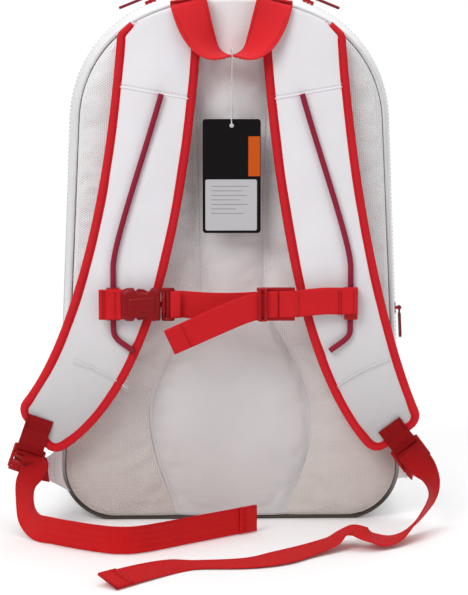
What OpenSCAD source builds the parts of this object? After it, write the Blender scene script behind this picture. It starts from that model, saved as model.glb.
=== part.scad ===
// Racket backpack with a padded harness, seen as it stands: +Z up, +X to the right of someone
// facing the harness, -Y towards them. The origin is the middle of the base, on the floor.
// Soft parts are plain closed solids of the right size and place. Lengths are millimetres.

/* [Bag] */
// Height of the bag, floor to the top of its arch
bag_h = 500; // [490:5:510]
// Width of the back panel at the shoulders
bag_w = 292; // [286:2:300]
// Width of the back panel just above the base
base_w = 324; // [318:2:330]
// Depth of the bag at its base
base_depth = 200; // [190:5:215]
// Depth of the bag at the top of its arch
top_depth = 120; // [115:5:130]
// How far the side walls swell between their seams
swell = 10; // [8:1:12]
// Depth of the racket compartment, from the back panel to the main zip
racket_depth = 60; // [55:1:62]

/* [Harness] */
// Half width of a shoulder strap over its upper part
strap_half = 36; // [34:1:37]
// Half width of a shoulder strap at its lower end
strap_end_half = 26; // [20:1:28]
// Width of the webbing on the straps
web_w = 25; // [20:1:25]
// Thickness of the webbing
web_t = 1.4; // [1.2:0.1:1.6]
// Width of the ribbon of the haul loop
haul_w = 34; // [32:1:38]

/* [Fittings] */
// Length of the chest buckle's socket
socket_l = 37; // [35:1:38]
// Width of the chest buckle
buckle_w = 31; // [30:1:33]
// Radius of the piping rail that the chest strap slides on
rail_r = 2.2; // [2:0.1:2.4]
// Running clearance between fittings
gap = 0.4; // [0.3:0.1:0.5]

/* [Hidden] */
$fn = 32;

white = [0.93, 0.93, 0.94];
mesh_grey = [0.84, 0.82, 0.81];
red = [0.79, 0.10, 0.13];
dark_red = [0.55, 0.12, 0.20];

// Outline of the back panel: a wide top arc, two shoulder arcs, straight sides and two base corners
back_y = -98;
top_r = 193;
shoulder_r = 112;
corner_r = 52;
top_c = [0, bag_h - top_r];
shoulder_x = bag_w / 2 - shoulder_r;
shoulder_c = [shoulder_x, top_c.y + sqrt(pow(top_r - shoulder_r, 2) - pow(shoulder_x, 2))];
corner_c = [base_w / 2 - corner_r, corner_r];
shoulder_a = atan2(shoulder_c.y - top_c.y, shoulder_c.x);
side_d = shoulder_c - corner_c;
side_a = atan2(side_d.y, side_d.x) - acos((corner_r - shoulder_r) / norm(side_d));
base_join = 0.08;
wall_t = 3;
zip_w = 12;
zip_y = back_y + racket_depth + zip_w / 2;

// Layers of the padded back panel, from the shell outwards
pad_t = 9.5;
center_pad_t = 6;
pad_y = back_y - pad_t;

function lerp(a, b, t) = a + (b - a) * t;
function bezier(p, t) =
    pow(1 - t, 3) * p[0] + 3 * t * pow(1 - t, 2) * p[1] + 3 * t * t * (1 - t) * p[2] + pow(t, 3) * p[3];
function curve(p, n, first = 0) = [for (i = [first:n]) bezier(p, i / n)];
function unit(v) = v / norm(v);
// A smooth run through stations of [point, direction], n steps from each one to the next
function between(a, b, c, d, t) =
    0.5 * (2 * b + (c - a) * t + (2 * a - 5 * b + 4 * c - d) * t * t + (3 * b - a - 3 * c + d) * t * t * t);
function spline(list, n) = [for (i = [0:len(list) - 2]) for (k = [i == 0 ? 0 : 1:n])
    let (a = list[max(i - 1, 0)], b = list[i], c = list[i + 1], d = list[min(i + 2, len(list) - 1)])
    [between(a[0], b[0], c[0], d[0], k / n), unit(between(a[1], b[1], c[1], d[1], k / n))]];
function mirror_x(p) = [-p.x, p.y];
function reversed(list) = [for (i = [len(list) - 1:-1:0]) list[i]];

// Outline stations are [point, outward normal] in the XZ plane
function arc(c, r, a, b, n, first = 0) =
    [for (i = [first:n]) let (q = lerp(a, b, i / n), d = [cos(q), sin(q)]) [c + r * d, d]];
function side_station(inset, f) =
    let (d = [cos(side_a), sin(side_a)])
    [lerp(corner_c + (corner_r - inset) * d, shoulder_c + (shoulder_r - inset) * d, f), d];
function other_half(list) = [for (s = reversed(list)) [mirror_x(s[0]), mirror_x(s[1])]];
function upper_half(inset, from) = concat(
    [for (f = [from, 0.35, 0.65]) side_station(inset, f)],
    arc(shoulder_c, shoulder_r - inset, side_a, shoulder_a, 5),
    arc(top_c, top_r - inset, shoulder_a, 90, 5, 1));
function upper_path(inset) =
    let (half = upper_half(inset, base_join + 0.002))
    concat(half, [for (i = [1:len(half) - 1]) other_half(half)[i]]);
function base_half(inset) = concat(
    arc(corner_c, corner_r - inset, -90, side_a, 5),
    [side_station(inset, base_join)]);
function base_path(inset) = concat(other_half(base_half(inset)), base_half(inset));
function outline(inset) =
    [for (s = concat(upper_path(inset), base_path(inset))) s[0]];

// Half width of the outline at height z
function half_width(z, inset) =
    let (low = side_station(inset, 0)[0], high = side_station(inset, 1)[0],
        top = top_c + (top_r - inset) * [cos(shoulder_a), sin(shoulder_a)])
    z < low.y ? corner_c.x + sqrt(max(0, pow(corner_r - inset, 2) - pow(z - corner_c.y, 2))) :
    z < high.y ? lerp(low.x, high.x, (z - low.y) / (high.y - low.y)) :
    z < top.y ? shoulder_c.x + sqrt(max(0, pow(shoulder_r - inset, 2) - pow(z - shoulder_c.y, 2))) :
    sqrt(max(0, pow(top_r - inset, 2) - pow(z - top_c.y, 2)));

// The front of the bag leans back towards the top
function front_y(z) = back_y + base_depth + (top_depth - base_depth) * pow(min(z, bag_h) / bag_h, 1.6);
function swell_at(y, z) = swell * sin(180 * (y - back_y) / (front_y(z) - back_y));

// Grid of points on the side wall: rows run from y0 to y1 (or to the bag's front), columns along path
function wall(path, y0, y1, rows, lift) = [for (k = [0:rows]) [for (s = path)
    let (end = is_undef(y1) ? front_y(s[0].y) : y1,
        y = lerp(y0, end, k / rows),
        out = swell_at(y, s[0].y))
    [s[0].x + out * s[1].x, y, max(s[0].y + out * s[1].y, lift)]]];

// A closed solid between two grids with the same rows and columns
module slab(outer, inner) {
    r = len(outer) - 1;
    c = len(outer[0]) - 1;
    n = (r + 1) * (c + 1);
    function at(i, j) = i * (c + 1) + j;
    points = concat([for (row = outer) each row], [for (row = inner) each row]);
    skins = [for (i = [0:r - 1]) for (j = [0:c - 1]) each [
        [at(i, j), at(i, j + 1), at(i + 1, j + 1)],
        [at(i, j), at(i + 1, j + 1), at(i + 1, j)],
        [n + at(i, j), n + at(i + 1, j + 1), n + at(i, j + 1)],
        [n + at(i, j), n + at(i + 1, j), n + at(i + 1, j + 1)]]];
    ends = [for (j = [0:c - 1]) each [
        [at(0, j + 1), at(0, j), n + at(0, j)],
        [at(0, j + 1), n + at(0, j), n + at(0, j + 1)],
        [at(r, j), at(r, j + 1), n + at(r, j + 1)],
        [at(r, j), n + at(r, j + 1), n + at(r, j)]]];
    sides = [for (i = [0:r - 1]) each [
        [at(i, 0), at(i + 1, 0), n + at(i + 1, 0)],
        [at(i, 0), n + at(i + 1, 0), n + at(i, 0)],
        [at(i + 1, c), at(i, c), n + at(i, c)],
        [at(i + 1, c), n + at(i, c), n + at(i + 1, c)]]];
    polyhedron(points = points, faces = concat(skins, ends, sides), convexity = 6);
}

// A round cord through a list of points. across is a direction that the cord never runs along
module cord(path, r, across, closed = false) {
    n = len(path);
    m = 8;
    function tangent(i) = unit(path[closed ? (i + 1) % n : min(i + 1, n - 1)] -
        path[closed ? (i + n - 1) % n : max(i - 1, 0)]);
    rings = [for (i = [0:n - 1])
        let (u = unit(cross(tangent(i), across)), v = cross(tangent(i), u))
        [for (k = [0:m - 1]) path[i] + r * (cos(k * 360 / m) * u + sin(k * 360 / m) * v)]];
    skin = [for (i = [0:closed ? n - 1 : n - 2]) for (k = [0:m - 1])
        let (a = i * m, b = ((i + 1) % n) * m, l = (k + 1) % m)
        each [[a + k, b + k, b + l], [a + k, b + l, a + l]]];
    caps = closed ? [] : [[for (k = [0:m - 1]) k], [for (k = [m - 1:-1:0]) (n - 1) * m + k]];
    polyhedron(points = [for (ring = rings) each ring], faces = concat(skin, caps), convexity = 6);
}

// Webbing along stations of [centre, width direction]
module ribbon(stations, w, t) {
    n = len(stations) - 1;
    function face(i) = unit(cross(unit(stations[min(i + 1, n)][0] - stations[max(i - 1, 0)][0]),
        unit(stations[i][1])));
    function row(i, side) = [for (e = [-0.5, 0.5])
        stations[i][0] + e * w * unit(stations[i][1]) + side * t / 2 * face(i)];
    slab([for (i = [0:n]) row(i, 1)], [for (i = [0:n]) row(i, -1)]);
}

// A plate in the XZ plane between y and y + t
module plate(y, t) translate([0, y + t, 0]) rotate([90, 0, 0]) linear_extrude(t) children();

module on_side(side) mirror([side < 0 ? 1 : 0, 0, 0]) children();

// ---- Bag ----

// Edge of the centre panel: a narrow spine that flares into a lumbar tongue
tongue_low = [[51, 2], [60, 32], [78, 62], [78, 104]];
tongue_high = [[78, 104], [78, 144], [35, 188], [32, 226]];
function center_half(grow) =
    [for (p = concat(curve(tongue_low, 4), curve(tongue_high, 6, 1), [[38, bag_h]])) p + [grow, 0]];
module center_area(grow) {
    half = center_half(grow);
    polygon(concat(half, [for (p = reversed(half)) mirror_x(p)]));
}

module back_board() color([0.2, 0.2, 0.2]) plate(back_y + 1, 2) polygon(outline(wall_t + 1));

module back_pad(side) color(mesh_grey) plate(pad_y, pad_t - 0.5) difference() {
    polygon(outline(5));
    center_area(0.5);
    translate([side > 0 ? -bag_w : 0, -1]) square([bag_w, bag_h + 2]);
}

module back_center_pad() color(white) plate(back_y - center_pad_t, center_pad_t - 0.5) intersection() {
    polygon(outline(5));
    center_area(-0.5);
}

module back_piping() color(white)
    cord([for (p = outline(2)) [p.x, back_y - 2.5, p.y]], 2, [0, 1, 0], true);

module rear_gusset() color(white) slab(
    wall(upper_path(0), back_y, zip_y - zip_w / 2 - 0.3, 4, 0),
    wall(upper_path(wall_t), back_y, zip_y - zip_w / 2 - 0.3, 4, 0));

coil_w = 5;
coil_h = 1.2;
module main_zip_tape() color(red) slab(
    [for (y = [-zip_w / 2, -coil_w / 2 - 0.2, -coil_w / 2, coil_w / 2, coil_w / 2 + 0.2, zip_w / 2])
        [for (s = upper_path(abs(y) > coil_w / 2 ? 0 : -coil_h))
            let (out = swell_at(zip_y, s[0].y))
            [s[0].x + out * s[1].x, zip_y + y, s[0].y + out * s[1].y]]],
    [for (y = [-zip_w / 2, -coil_w / 2 - 0.2, -coil_w / 2, coil_w / 2, coil_w / 2 + 0.2, zip_w / 2])
        [for (s = upper_path(1.6))
            let (out = swell_at(zip_y, s[0].y))
            [s[0].x + out * s[1].x, zip_y + y, s[0].y + out * s[1].y]]]);

module front_gusset() color(white) slab(
    wall(upper_path(0), zip_y + zip_w / 2 + 0.3, undef, 6, 0),
    wall(upper_path(wall_t), zip_y + zip_w / 2 + 0.3, undef, 6, 0));

module base_panel() color(white) slab(
    wall(base_path(0), back_y, undef, 8, 0),
    wall(base_path(wall_t), back_y, undef, 8, wall_t));

front_dome = 6;
function panel_y(x, z) = front_y(z) + gap + front_dome * (1 - pow(x / half_width(z, 1), 2));
function panel_grid(out) = [for (i = [0:14]) let (z = bag_h / 2 - (bag_h / 2 - 4) * cos(180 * i / 14))
    [for (j = [-5:5]) let (x = j / 5 * half_width(z, 1)) [x, panel_y(x, z) + out, z]]];
module front_panel() color(white) slab(panel_grid(0), panel_grid(3));

module racket_divider() color([0.75, 0.75, 0.77])
    translate([0, back_y + racket_depth + 16, 0]) rotate([90, 0, 0]) linear_extrude(5)
    intersection() {
        polygon(outline(wall_t + 6));
        translate([-bag_w, 14]) square([2 * bag_w, 400]);
    }

// Front pocket: a sheet that stands off the front panel and meets it at its edges
pocket_half = 112;
pocket_z = [90, 290];
pocket_depth = 24;
pocket_zip_z = 262;
function pocket_y(x, z) =
    let (u = x / pocket_half, v = 2 * (z - pocket_z[0]) / (pocket_z[1] - pocket_z[0]) - 1)
    front_y(z) + gap + front_dome + 3.5 + pocket_depth * (1 - pow(u, 12)) * (1 - pow(v, 8));
function pocket_grid(out) = [for (i = [0:12]) let (z = lerp(pocket_z[0], pocket_z[1], (1 - cos(15 * i)) / 2))
    [for (j = [0:14]) let (x = -pocket_half * cos(180 * j / 14)) [x, pocket_y(x, z) + out, z]]];
module front_pocket() color(white) slab(pocket_grid(0), pocket_grid(2));

front_zip_half = 88;
function front_zip_grid(out) = [for (k = [-1, -0.45, -0.4, 0.4, 0.45, 1])
    let (z = pocket_zip_z + k * 6, ridge = abs(k) < 0.42 && out > 1 ? coil_h : 0)
    [for (j = [-6:6]) let (x = j / 6 * front_zip_half) [x, pocket_y(x, z) + 2.2 + out + ridge, z]]];
module front_zip_tape() color(red) slab(front_zip_grid(0), front_zip_grid(1.2));

// Side pocket zip: straight, up the widest part of the front gusset
side_zip_y = 14;
side_zip_z = [110, 330];
side_rest_z = [135, 190];
side_low = side_station(0, 0)[0];
side_high = side_station(0, 1)[0];
side_up = unit([side_high.x - side_low.x, 0, side_high.y - side_low.y]);
side_tilt = atan2(side_up.x, side_up.z);
function side_foot(z) = [lerp(side_low.x, side_high.x, (z - side_low.y) / (side_high.y - side_low.y)) +
    swell + 0.3, side_zip_y, z];
module side_frame(side, z) on_side(side) translate(side_foot(z)) rotate([0, side_tilt, 0]) children();
module side_zip_tape(side) color(red) side_frame(side, side_zip_z[0]) {
    translate([0, -6, 0]) cube([1.2, 12, side_zip_z[1] - side_zip_z[0]]);
    translate([1.1, -coil_w / 2, 0]) cube([1.1, coil_w, side_zip_z[1] - side_zip_z[0]]);
}

// ---- Zip sliders and pulls. In their own frame they travel along X on a tape whose face is z = 0 ----

slider_l = 11;
bridge_z = 8;
pin_r = 0.9;
pull_l = 25;
module slider() color([0.72, 0.09, 0.12]) {
    translate([-slider_l / 2, -4.6, coil_h + 0.5]) cube([slider_l, 9.2, 2.4]);
    for (y = [-1, 1]) {
        translate([-slider_l / 2, y * 3.9 - 0.7, 0.5]) cube([slider_l, 1.4, 3]);
        translate([-1.2, y * 3.1 - 0.6, coil_h + 2.8]) cube([2.4, 1.2, bridge_z - coil_h - 2.8]);
        translate([0, y * 3.1, bridge_z]) rotate([90, 0, 0]) cylinder(r = 1.2, h = 1.2, center = true);
    }
    translate([0, 0, bridge_z]) rotate([90, 0, 0]) cylinder(r = pin_r, h = 6.2, center = true);
}

// The pull turns on the slider's pin: a ring, a neck and a moulded tab
module pull() color([0.60, 0.08, 0.13]) translate([0, 0, bridge_z]) {
    difference() {
        union() {
            rotate([90, 0, 0]) cylinder(r = 2.2, h = 4, center = true);
            translate([1, -2, -0.8]) cube([5, 4, 1.6]);
        }
        rotate([90, 0, 0]) cylinder(r = pin_r + 0.3, h = 5, center = true);
    }
    translate([5.8, -3.5, -1.2]) cube([pull_l - 3.5, 7, 2.4]);
    translate([pull_l + 2.3, 0, -1.2]) cylinder(r = 3.5, h = 2.4);
}

main_rest_a = 22;
// Sits its child on the arch at an angle a to the right of the top, travelling down the arch
module on_arch(side, a) on_side(side)
    translate([top_c.x, zip_y, top_c.y]) rotate([0, a, 0]) translate([0, 0, top_r + swell]) children();
// Sits its child on the side zip, with its travel downwards and its face outwards
module on_side_zip(side) side_frame(side, of_side(side, side_rest_z)) rotate([0, 90, 0]) translate([0, 0, 1.0]) children();
// Sits its child on the front pocket's zip, with its travel to the wearer's right
front_rest_x = -70;
pocket_lean = atan((pocket_y(0, pocket_zip_z - 4) - pocket_y(0, pocket_zip_z + 4)) / 8);
module on_pocket() translate([front_rest_x, pocket_y(0, pocket_zip_z) + 3.4, pocket_zip_z])
    rotate([pocket_lean, 0, 0]) rotate([0, 0, 180]) rotate([90, 0, 0]) children();

// ---- Haul loop: a ribbon sewn down at both ends that droops in front of the back panel ----

haul_x = 40;
haul_z = [443, 493];
haul_y = [-127.5, -124.2];
// The ribbon turns from edge-on at the middle to face-on at its ends, square to its own path
function haul_slope(f) = atan2(2.6 * (haul_z[1] - haul_z[0]) * pow(f, 1.6), 0.8 * haul_x * pow(max(f, 0.01), -0.2));
function haul_station(s) = let (f = abs(s), a = 90 * pow(f, 1.15), slope = haul_slope(f)) [
    [sign(s) * haul_x * pow(f, 0.8), lerp(haul_y[0], haul_y[1], f), lerp(haul_z[0], haul_z[1], pow(f, 2.6))],
    [sign(s) * sin(a) * sin(slope), -cos(a), -sin(a) * cos(slope)]];
module haul_loop() color(red) ribbon([for (i = [-14:14]) haul_station(i / 14)], haul_w, 1.8);

// ---- Shoulder straps. h is the height above the face that lies against the wearer ----

strap_curves = [
    [[66, 478], [74, 345], [102, 152], [184, 92]],
    [[66, 478], [74, 345], [98, 165], [157, 86]]];
fold_t = 0.106;
strap_t = 10.2;
strap_stand = 110;
strap_bow = 20;
function strap_y(t) = -strap_stand - strap_bow * sin(150 * t);
function strap_curve(side) = strap_curves[side < 0 ? 0 : 1];
function strap_w(t) = lerp(strap_half, strap_end_half, pow(max(0, 2 * t - 1), 2.4));
function strap_dir(side, t) =
    let (c = strap_curve(side), e = 0.01) unit(bezier(c, min(1, t + e)) - bezier(c, max(0, t - e)));
function strap_at(side, t, across, h, along = 0) =
    let (c = bezier(strap_curve(side), t), d = strap_dir(side, t))
    [c.x - d.y * across + d.x * along, strap_y(t) - h, c.y + d.x * across + d.y * along];
function strap_grid(side, t0, t1, rows, h, trim = 0) =
    [for (i = [0:rows]) let (t = lerp(t0, t1, i / rows))
        [for (j = [-2:2]) strap_at(side, t, j / 2 * (strap_w(t) - trim), h)]];
module strap_layer(side, h0, h1, trim = 0) on_side(side) slab(
    strap_grid(side, fold_t, 1, 22, h1, trim),
    strap_grid(side, fold_t, 1, 22, h0, trim));

// The root is sewn flat to the back panel, up to the seam of the arch, where its outer edge tucks in
root_tuck = 10;
function root_grid(side, h) = concat(
    [[for (j = [-2:2]) let (x = strap_curve(side)[0].x + j / 2 * strap_half - root_tuck * (j + 2) / 4)
        [x, strap_y(0) - h, top_c.y + sqrt(pow(top_r, 2) - pow(x, 2)) - 3]]],
    strap_grid(side, 0.045, fold_t - 0.002, 2, h));
module strap_root(side) color(white) on_side(side) slab(root_grid(side, strap_t), root_grid(side, 0));
module strap_lining(side) color(mesh_grey) strap_layer(side, 0, 1.8);
module strap_foam(side) color([0.3, 0.3, 0.32]) strap_layer(side, 2, 8, 1);
module strap_cover(side) color(white) strap_layer(side, 8.2, strap_t);

// Binding: a red band round the edge of the strap, open at the fold
binding_t = 2.5;
function binding_edge(side, off, h) = concat(
    [for (i = [0:22]) let (t = lerp(fold_t, 1, i / 22)) strap_at(side, t, strap_w(t) + off, h)],
    [for (u = [1, 0.5, 0, -0.5, -1]) strap_at(side, 1, u * strap_w(1), h, off + 1)],
    [for (i = [22:-1:0]) let (t = lerp(fold_t, 1, i / 22)) strap_at(side, t, -strap_w(t) - off, h)]);
module strap_binding(side) color(red) on_side(side) slab(
    [for (h = [strap_t + 0.6, -0.4]) binding_edge(side, 0.3 + binding_t, h)],
    [for (h = [strap_t + 0.6, -0.4]) binding_edge(side, 0.3, h)]);

// Rail: piping sewn down the strap, upright where the chest strap slides on it
chest_z = 215;
rail_x = 110;
rail_top = [65, 408];
rail_up = [rail_x, 248];
rail_low = [rail_x, 190];
rail_hook = [rail_low, [rail_x, 181], [101, 178], [91, 170]];
rail_y = -144;
function rail_point(p) = [p.x, p.y > rail_low.y - 1 && p.y < rail_up.y + 1 ? rail_y :
    p.y > rail_up.y ? lerp(rail_y, rail_y + 11, pow((p.y - rail_up.y) / (rail_top.y - rail_up.y), 1.5)) :
    rail_y - 0.8, p.y];
module strap_rail(side) color(dark_red) on_side(side) cord(concat(
    [for (p = curve([rail_top, [82, 348], [rail_x, 270], rail_up], 8)) rail_point(p)],
    [for (p = curve(rail_hook, 6)) rail_point(p)]), rail_r, [0, 1, 0]);

// ---- Lower adjusters. u is across the strap, v is past its end ----

lock_half = 15.5;
lock_bar_r = 2;
lock_bar_v = [18, 11];
lock_l = 22;
lock_h = 6.4;
// The left lock hangs turned down from the line of its strap
end_turn = [34, 0];
function of_side(side, pair) = pair[side < 0 ? 0 : 1];
function end_at(side, u, v, h) = let (a = of_side(side, end_turn))
    strap_at(side, 1, u * cos(a) - v * sin(a), h, u * sin(a) + v * cos(a));
function end_across(side) = end_at(side, 1, 0, 0) - end_at(side, 0, 0, 0);
module at_strap_end(side) on_side(side) {
    e = end_at(side, 0, 0, 0);
    u = end_at(side, 1, 0, 0) - e;
    v = end_at(side, 0, 1, 0) - e;
    multmatrix([[u.x, v.x, 0, e.x], [0, 0, -1, e.y], [u.z, v.z, 0, e.z], [0, 0, 0, 1]]) children();
}

function loop_path(side, r, n) = let (bar = of_side(side, lock_bar_v)) concat(
    [[-14, strap_t + 3.4], [2, strap_t + 2.2], [bar - 6, strap_t + 1.8]],
    [for (i = [0:n]) let (a = 100 - 190 * i / n) [bar + r * cos(a), lock_h + r * sin(a)]],
    [[bar - 3.6, lock_h - r]]);
module strap_end_loop(side) color(red) at_strap_end(side)
    ribbon([for (p = loop_path(side, 3.6, 8)) [[0, p.x, p.y], [1, 0, 0]]], web_w, web_t);

// Ladder lock: side rails, a round hinge bar, a middle bar and a lipped end bar
module ladder_plate(w, l, bars) {
    for (s = [-1, 1]) translate([s * (w / 2 - 1.4) - 1.4, 0, -1.8]) cube([2.8, l, 3.6]);
    for (v = bars) translate([-w / 2 + 1, v - 1.7, -1.5]) cube([w - 2, 3.4, 3]);
}
module ladder_lock(side) color([0.70, 0.07, 0.10]) at_strap_end(side)
    translate([0, of_side(side, lock_bar_v), lock_h]) {
        ladder_plate(2 * lock_half, lock_l, [9.5, lock_l - 3]);
        rotate([0, 90, 0]) cylinder(r = lock_bar_r, h = 2 * lock_half - 1, center = true);
        translate([-lock_half + 1, lock_l - 3, 1.4]) cube([2 * lock_half - 2, 5, 1.6]);
    }

// Wing: the tab of shell cloth that ties the lower webbing into the side seam
wing_z = [16, 84];
wing_tip = [180, 50];
module corner_wing(side) color(white) on_side(side) plate(back_y - 4.5, 3) difference() {
    polygon([[base_w / 2 - 20, wing_z[0]], [wing_tip.x, wing_tip.y - 9],
        [wing_tip.x, wing_tip.y + 9], [base_w / 2 - 20, wing_z[1]]]);
    polygon(outline(-0.6));
}

// The run from the wing up to the back of the ladder lock
module lower_webbing(side) color(red) on_side(side) {
    low = [wing_tip.x - 4, back_y - 6.5, wing_tip.y];
    high = end_at(side, 0, of_side(side, lock_bar_v) + 14, 1.6);
    across = end_across(side);
    ribbon([for (i = [0:6]) let (t = i / 6) [bezier([low, low + [0, -8, 2], high + [0, 6, -4], high], t),
        lerp([0.2, 0, 1], across, t)]], web_w - 1, web_t);
}

// Free tails, as stations of [centre, width direction]. The left one drops from its lock, turns on the
// floor and stands on edge; the right one curls over once and then lies nearly flat
function tail_start(side) = [end_at(side, 0, of_side(side, lock_bar_v) + 5, 11.5), end_across(side)];
on_edge = [0, 0, -1];
tail_left = [tail_start(-1), [[184, -140, 63], [0.93, 0.1, 0.35]], [[192, -147, 47], [0.75, 0.6, 0.2]],
    [[193, -153, 33], [0.7, 0.7, -0.1]], [[190, -162, 20], [0.6, 0.3, -0.75]], [[180, -178, 13.4], [0.3, 0.1, -0.95]],
    [[165, -191, 13.4], on_edge], [[147, -204, 13.4], on_edge], [[122, -219, 13.4], on_edge],
    [[102, -226, 13.4], on_edge], [[80, -221, 13.4], on_edge], [[30, -186, 13.4], on_edge],
    [[-22, -149, 13.4], on_edge]];
tail_right = [tail_start(1), [[176, -141, 64], [0.65, 0.2, 0.72]], [[186, -148, 49], [0.6, 0.75, 0.25]],
    [[185, -158, 33], [0.4, 0.9, -0.1]], [[171, -172, 17], [0.2, 0.93, -0.3]],
    [[151, -190, 7], [0, 0.98, -0.1]], [[132, -206, 7.5], [-0.2, 0.95, 0.2]],
    [[120, -210, 13], [-0.35, 0.86, 0.38]], [[109, -205, 16], [-0.3, 0.95, 0.1]],
    [[98, -205, 13], [-0.2, 0.97, -0.1]], [[86, -213, 7], [-0.4, 0.91, 0]],
    [[62, -231, 4], [-0.5, 0.86, 0.1]], [[39, -252, 4.2], [-0.4, 0.9, 0.15]],
    [[10, -262, 2.5], [-0.05, 0.99, 0.05]], [[-33, -263, 1.6], [-0.05, 1, 0]],
    [[-53, -272, 3.2], [-0.3, 0.94, 0.15]], [[-80, -297, 5], [-0.5, 0.83, 0.25]],
    [[-108, -326, 5.5], [-0.45, 0.83, 0.3]]];
module tail(side, stations) on_side(side) ribbon(spline(stations, 3), web_w, web_t);
module lower_tail_left() color(red) tail(-1, tail_left);
module lower_tail_right() color(red) tail(1, tail_right);

// ---- Chest strap ----

chest_y = -150;
clip_h = 30;
// Clip: holds the piping rail in a groove that is open towards the strap
module rail_clip(side) color([0.72, 0.08, 0.11]) on_side(side) difference() {
    translate([rail_x - 6, rail_y - 5, chest_z - clip_h / 2]) cube([12, 6.4, clip_h]);
    translate([rail_x, rail_y, chest_z - clip_h]) cylinder(r = rail_r + gap, h = 2 * clip_h);
}

socket_x = -103;
socket_t = 9;
module buckle_socket() color([0.58, 0.05, 0.08])
    translate([socket_x, chest_y - socket_t / 2, chest_z - buckle_w / 2]) difference() {
        cube([socket_l, socket_t, buckle_w]);
        translate([6, 1.8, 3]) cube([socket_l, socket_t - 3.6, buckle_w - 6]);
        for (z = [-1, buckle_w - 3.5]) translate([12, 2.6, z]) cube([socket_l, socket_t - 5.2, 4.5]);
    }

// Plug: a shoulder, a guide tongue and a bar for the webbing
plug_x = socket_x + socket_l + 0.6;
tongue_l = 26;
module buckle_plug() color([0.58, 0.05, 0.08]) translate([plug_x, chest_y, chest_z]) {
    translate([0, -2.2, -buckle_w / 2]) cube([4, 4.4, buckle_w]);
    for (z = [-1, 1])
        translate([3.8, -2.2, z * (buckle_w / 2 - 1.6) - 1.6]) cube([6.4, 4.4, 3.2]);
    translate([-tongue_l, -1.4, -2]) cube([tongue_l + 0.2, 2.8, 4]);
    translate([9, 0, 0]) cylinder(r = 1.9, h = buckle_w - 1, center = true);
}

// Latch arm: springs inwards when its tip is squeezed through the socket's window
arm_root = [-1.8, 10];
arm_l = 22;
module latch_arm(z) color([0.58, 0.05, 0.08]) translate([plug_x, chest_y, chest_z])
    mirror([0, 0, z < 0 ? 1 : 0]) {
        translate([arm_root.x, 0, arm_root.y]) rotate([90, 0, 0]) cylinder(r = 1.4, h = 2.8, center = true);
        translate([arm_root.x - arm_l, -1.4, arm_root.y - 1.4]) cube([arm_l, 2.8, 2.8]);
        translate([arm_root.x - arm_l, -1.4, arm_root.y + 1]) cube([8, 2.8, 2.9]);
    }

module chest_webbing_left() color(red)
    translate([-rail_x - 13, rail_y - 7, chest_z - web_w / 2])
        cube([rail_x + 13 + socket_x - gap, web_t, web_w]);

chest_lock_x = [24, 58];
module chest_ladder_lock() color([0.72, 0.08, 0.11]) translate([chest_lock_x[0], chest_y, chest_z])
    multmatrix([[0, 1, 0, 0], [0, 0, 1, 0], [1, 0, 0, 0], [0, 0, 0, 1]])
    ladder_plate(buckle_w, chest_lock_x[1] - chest_lock_x[0], [2, 16, 31]);

// One length of webbing: from the plug's bar, round the lock's middle bar, and back as a free tail
chest_bar_x = chest_lock_x[0] + 16;
chest_back = chest_y + 3.2;
chest_front = chest_y - 3.2;
function chest_path() = concat(
    [for (i = [0:5]) [lerp(plug_x + 14, chest_bar_x, i / 5), chest_back, chest_z]],
    [for (i = [1:6]) let (a = 90 - 30 * i) [chest_bar_x + 3.2 * cos(a), chest_y + 3.2 * sin(a), chest_z]],
    curve([[chest_bar_x - 8, chest_front, chest_z], [16, chest_front - 3, chest_z],
        [0, chest_front - 12, chest_z - 8], [-58, chest_front - 8, chest_z - 34]], 8));
module chest_webbing_main() color(red) {
    path = chest_path();
    fold = 12;
    ribbon([for (i = [0:len(path) - 1])
        [path[i], unit([i > fold ? -0.3 * (i - fold) / 8 : 0, 0, 1])]], web_w, web_t);
}

module chest_webbing_right() color(red)
    translate([chest_lock_x[1] + gap, rail_y - 7, chest_z - web_w / 2])
        cube([rail_x + 5 - chest_lock_x[1], web_t, web_w]);

// ---- Hang tag ----

tag_y = haul_y[0];
tag_w = 54;
tag_top = 385;
tag_h = 106;
tag_t = 1;
tag_hole_z = tag_top - 6;
module tag_cord() color([0.92, 0.92, 0.92]) {
    around_loop = concat(
        [for (i = [0:6]) [0, tag_y - 21 * cos(30 * i), haul_z[0] + 5 + 3 * sin(30 * i)]],
        [[0, tag_y + 19, 433], [0, tag_y, 420], [0, tag_y - 14, 431]]);
    cord(around_loop, 0.5, [1, 0, 0], true);
    front_run = [[1, 419.7], [1.4, tag_top + 4], [1.4, tag_hole_z + 1], [0.8, tag_hole_z - 0.4]];
    cord(concat(
        [for (p = front_run) [0, tag_y - p.x, p.y]],
        [for (p = reversed(front_run)) [0, tag_y + p.x, p.y]]), 0.5, [1, 0, 0], true);
}

module card_shape(w, h, r) translate([-w / 2 + r, r]) minkowski() {
    square([w - 2 * r, h - 2 * r]);
    circle(r);
}
module tag_card() color([0.05, 0.04, 0.05]) plate(tag_y - tag_t / 2, tag_t) difference() {
    translate([0, tag_top - tag_h]) card_shape(tag_w, tag_h, 3);
    translate([0, tag_hole_z]) circle(1.6);
}

// ---- The model ----

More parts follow.
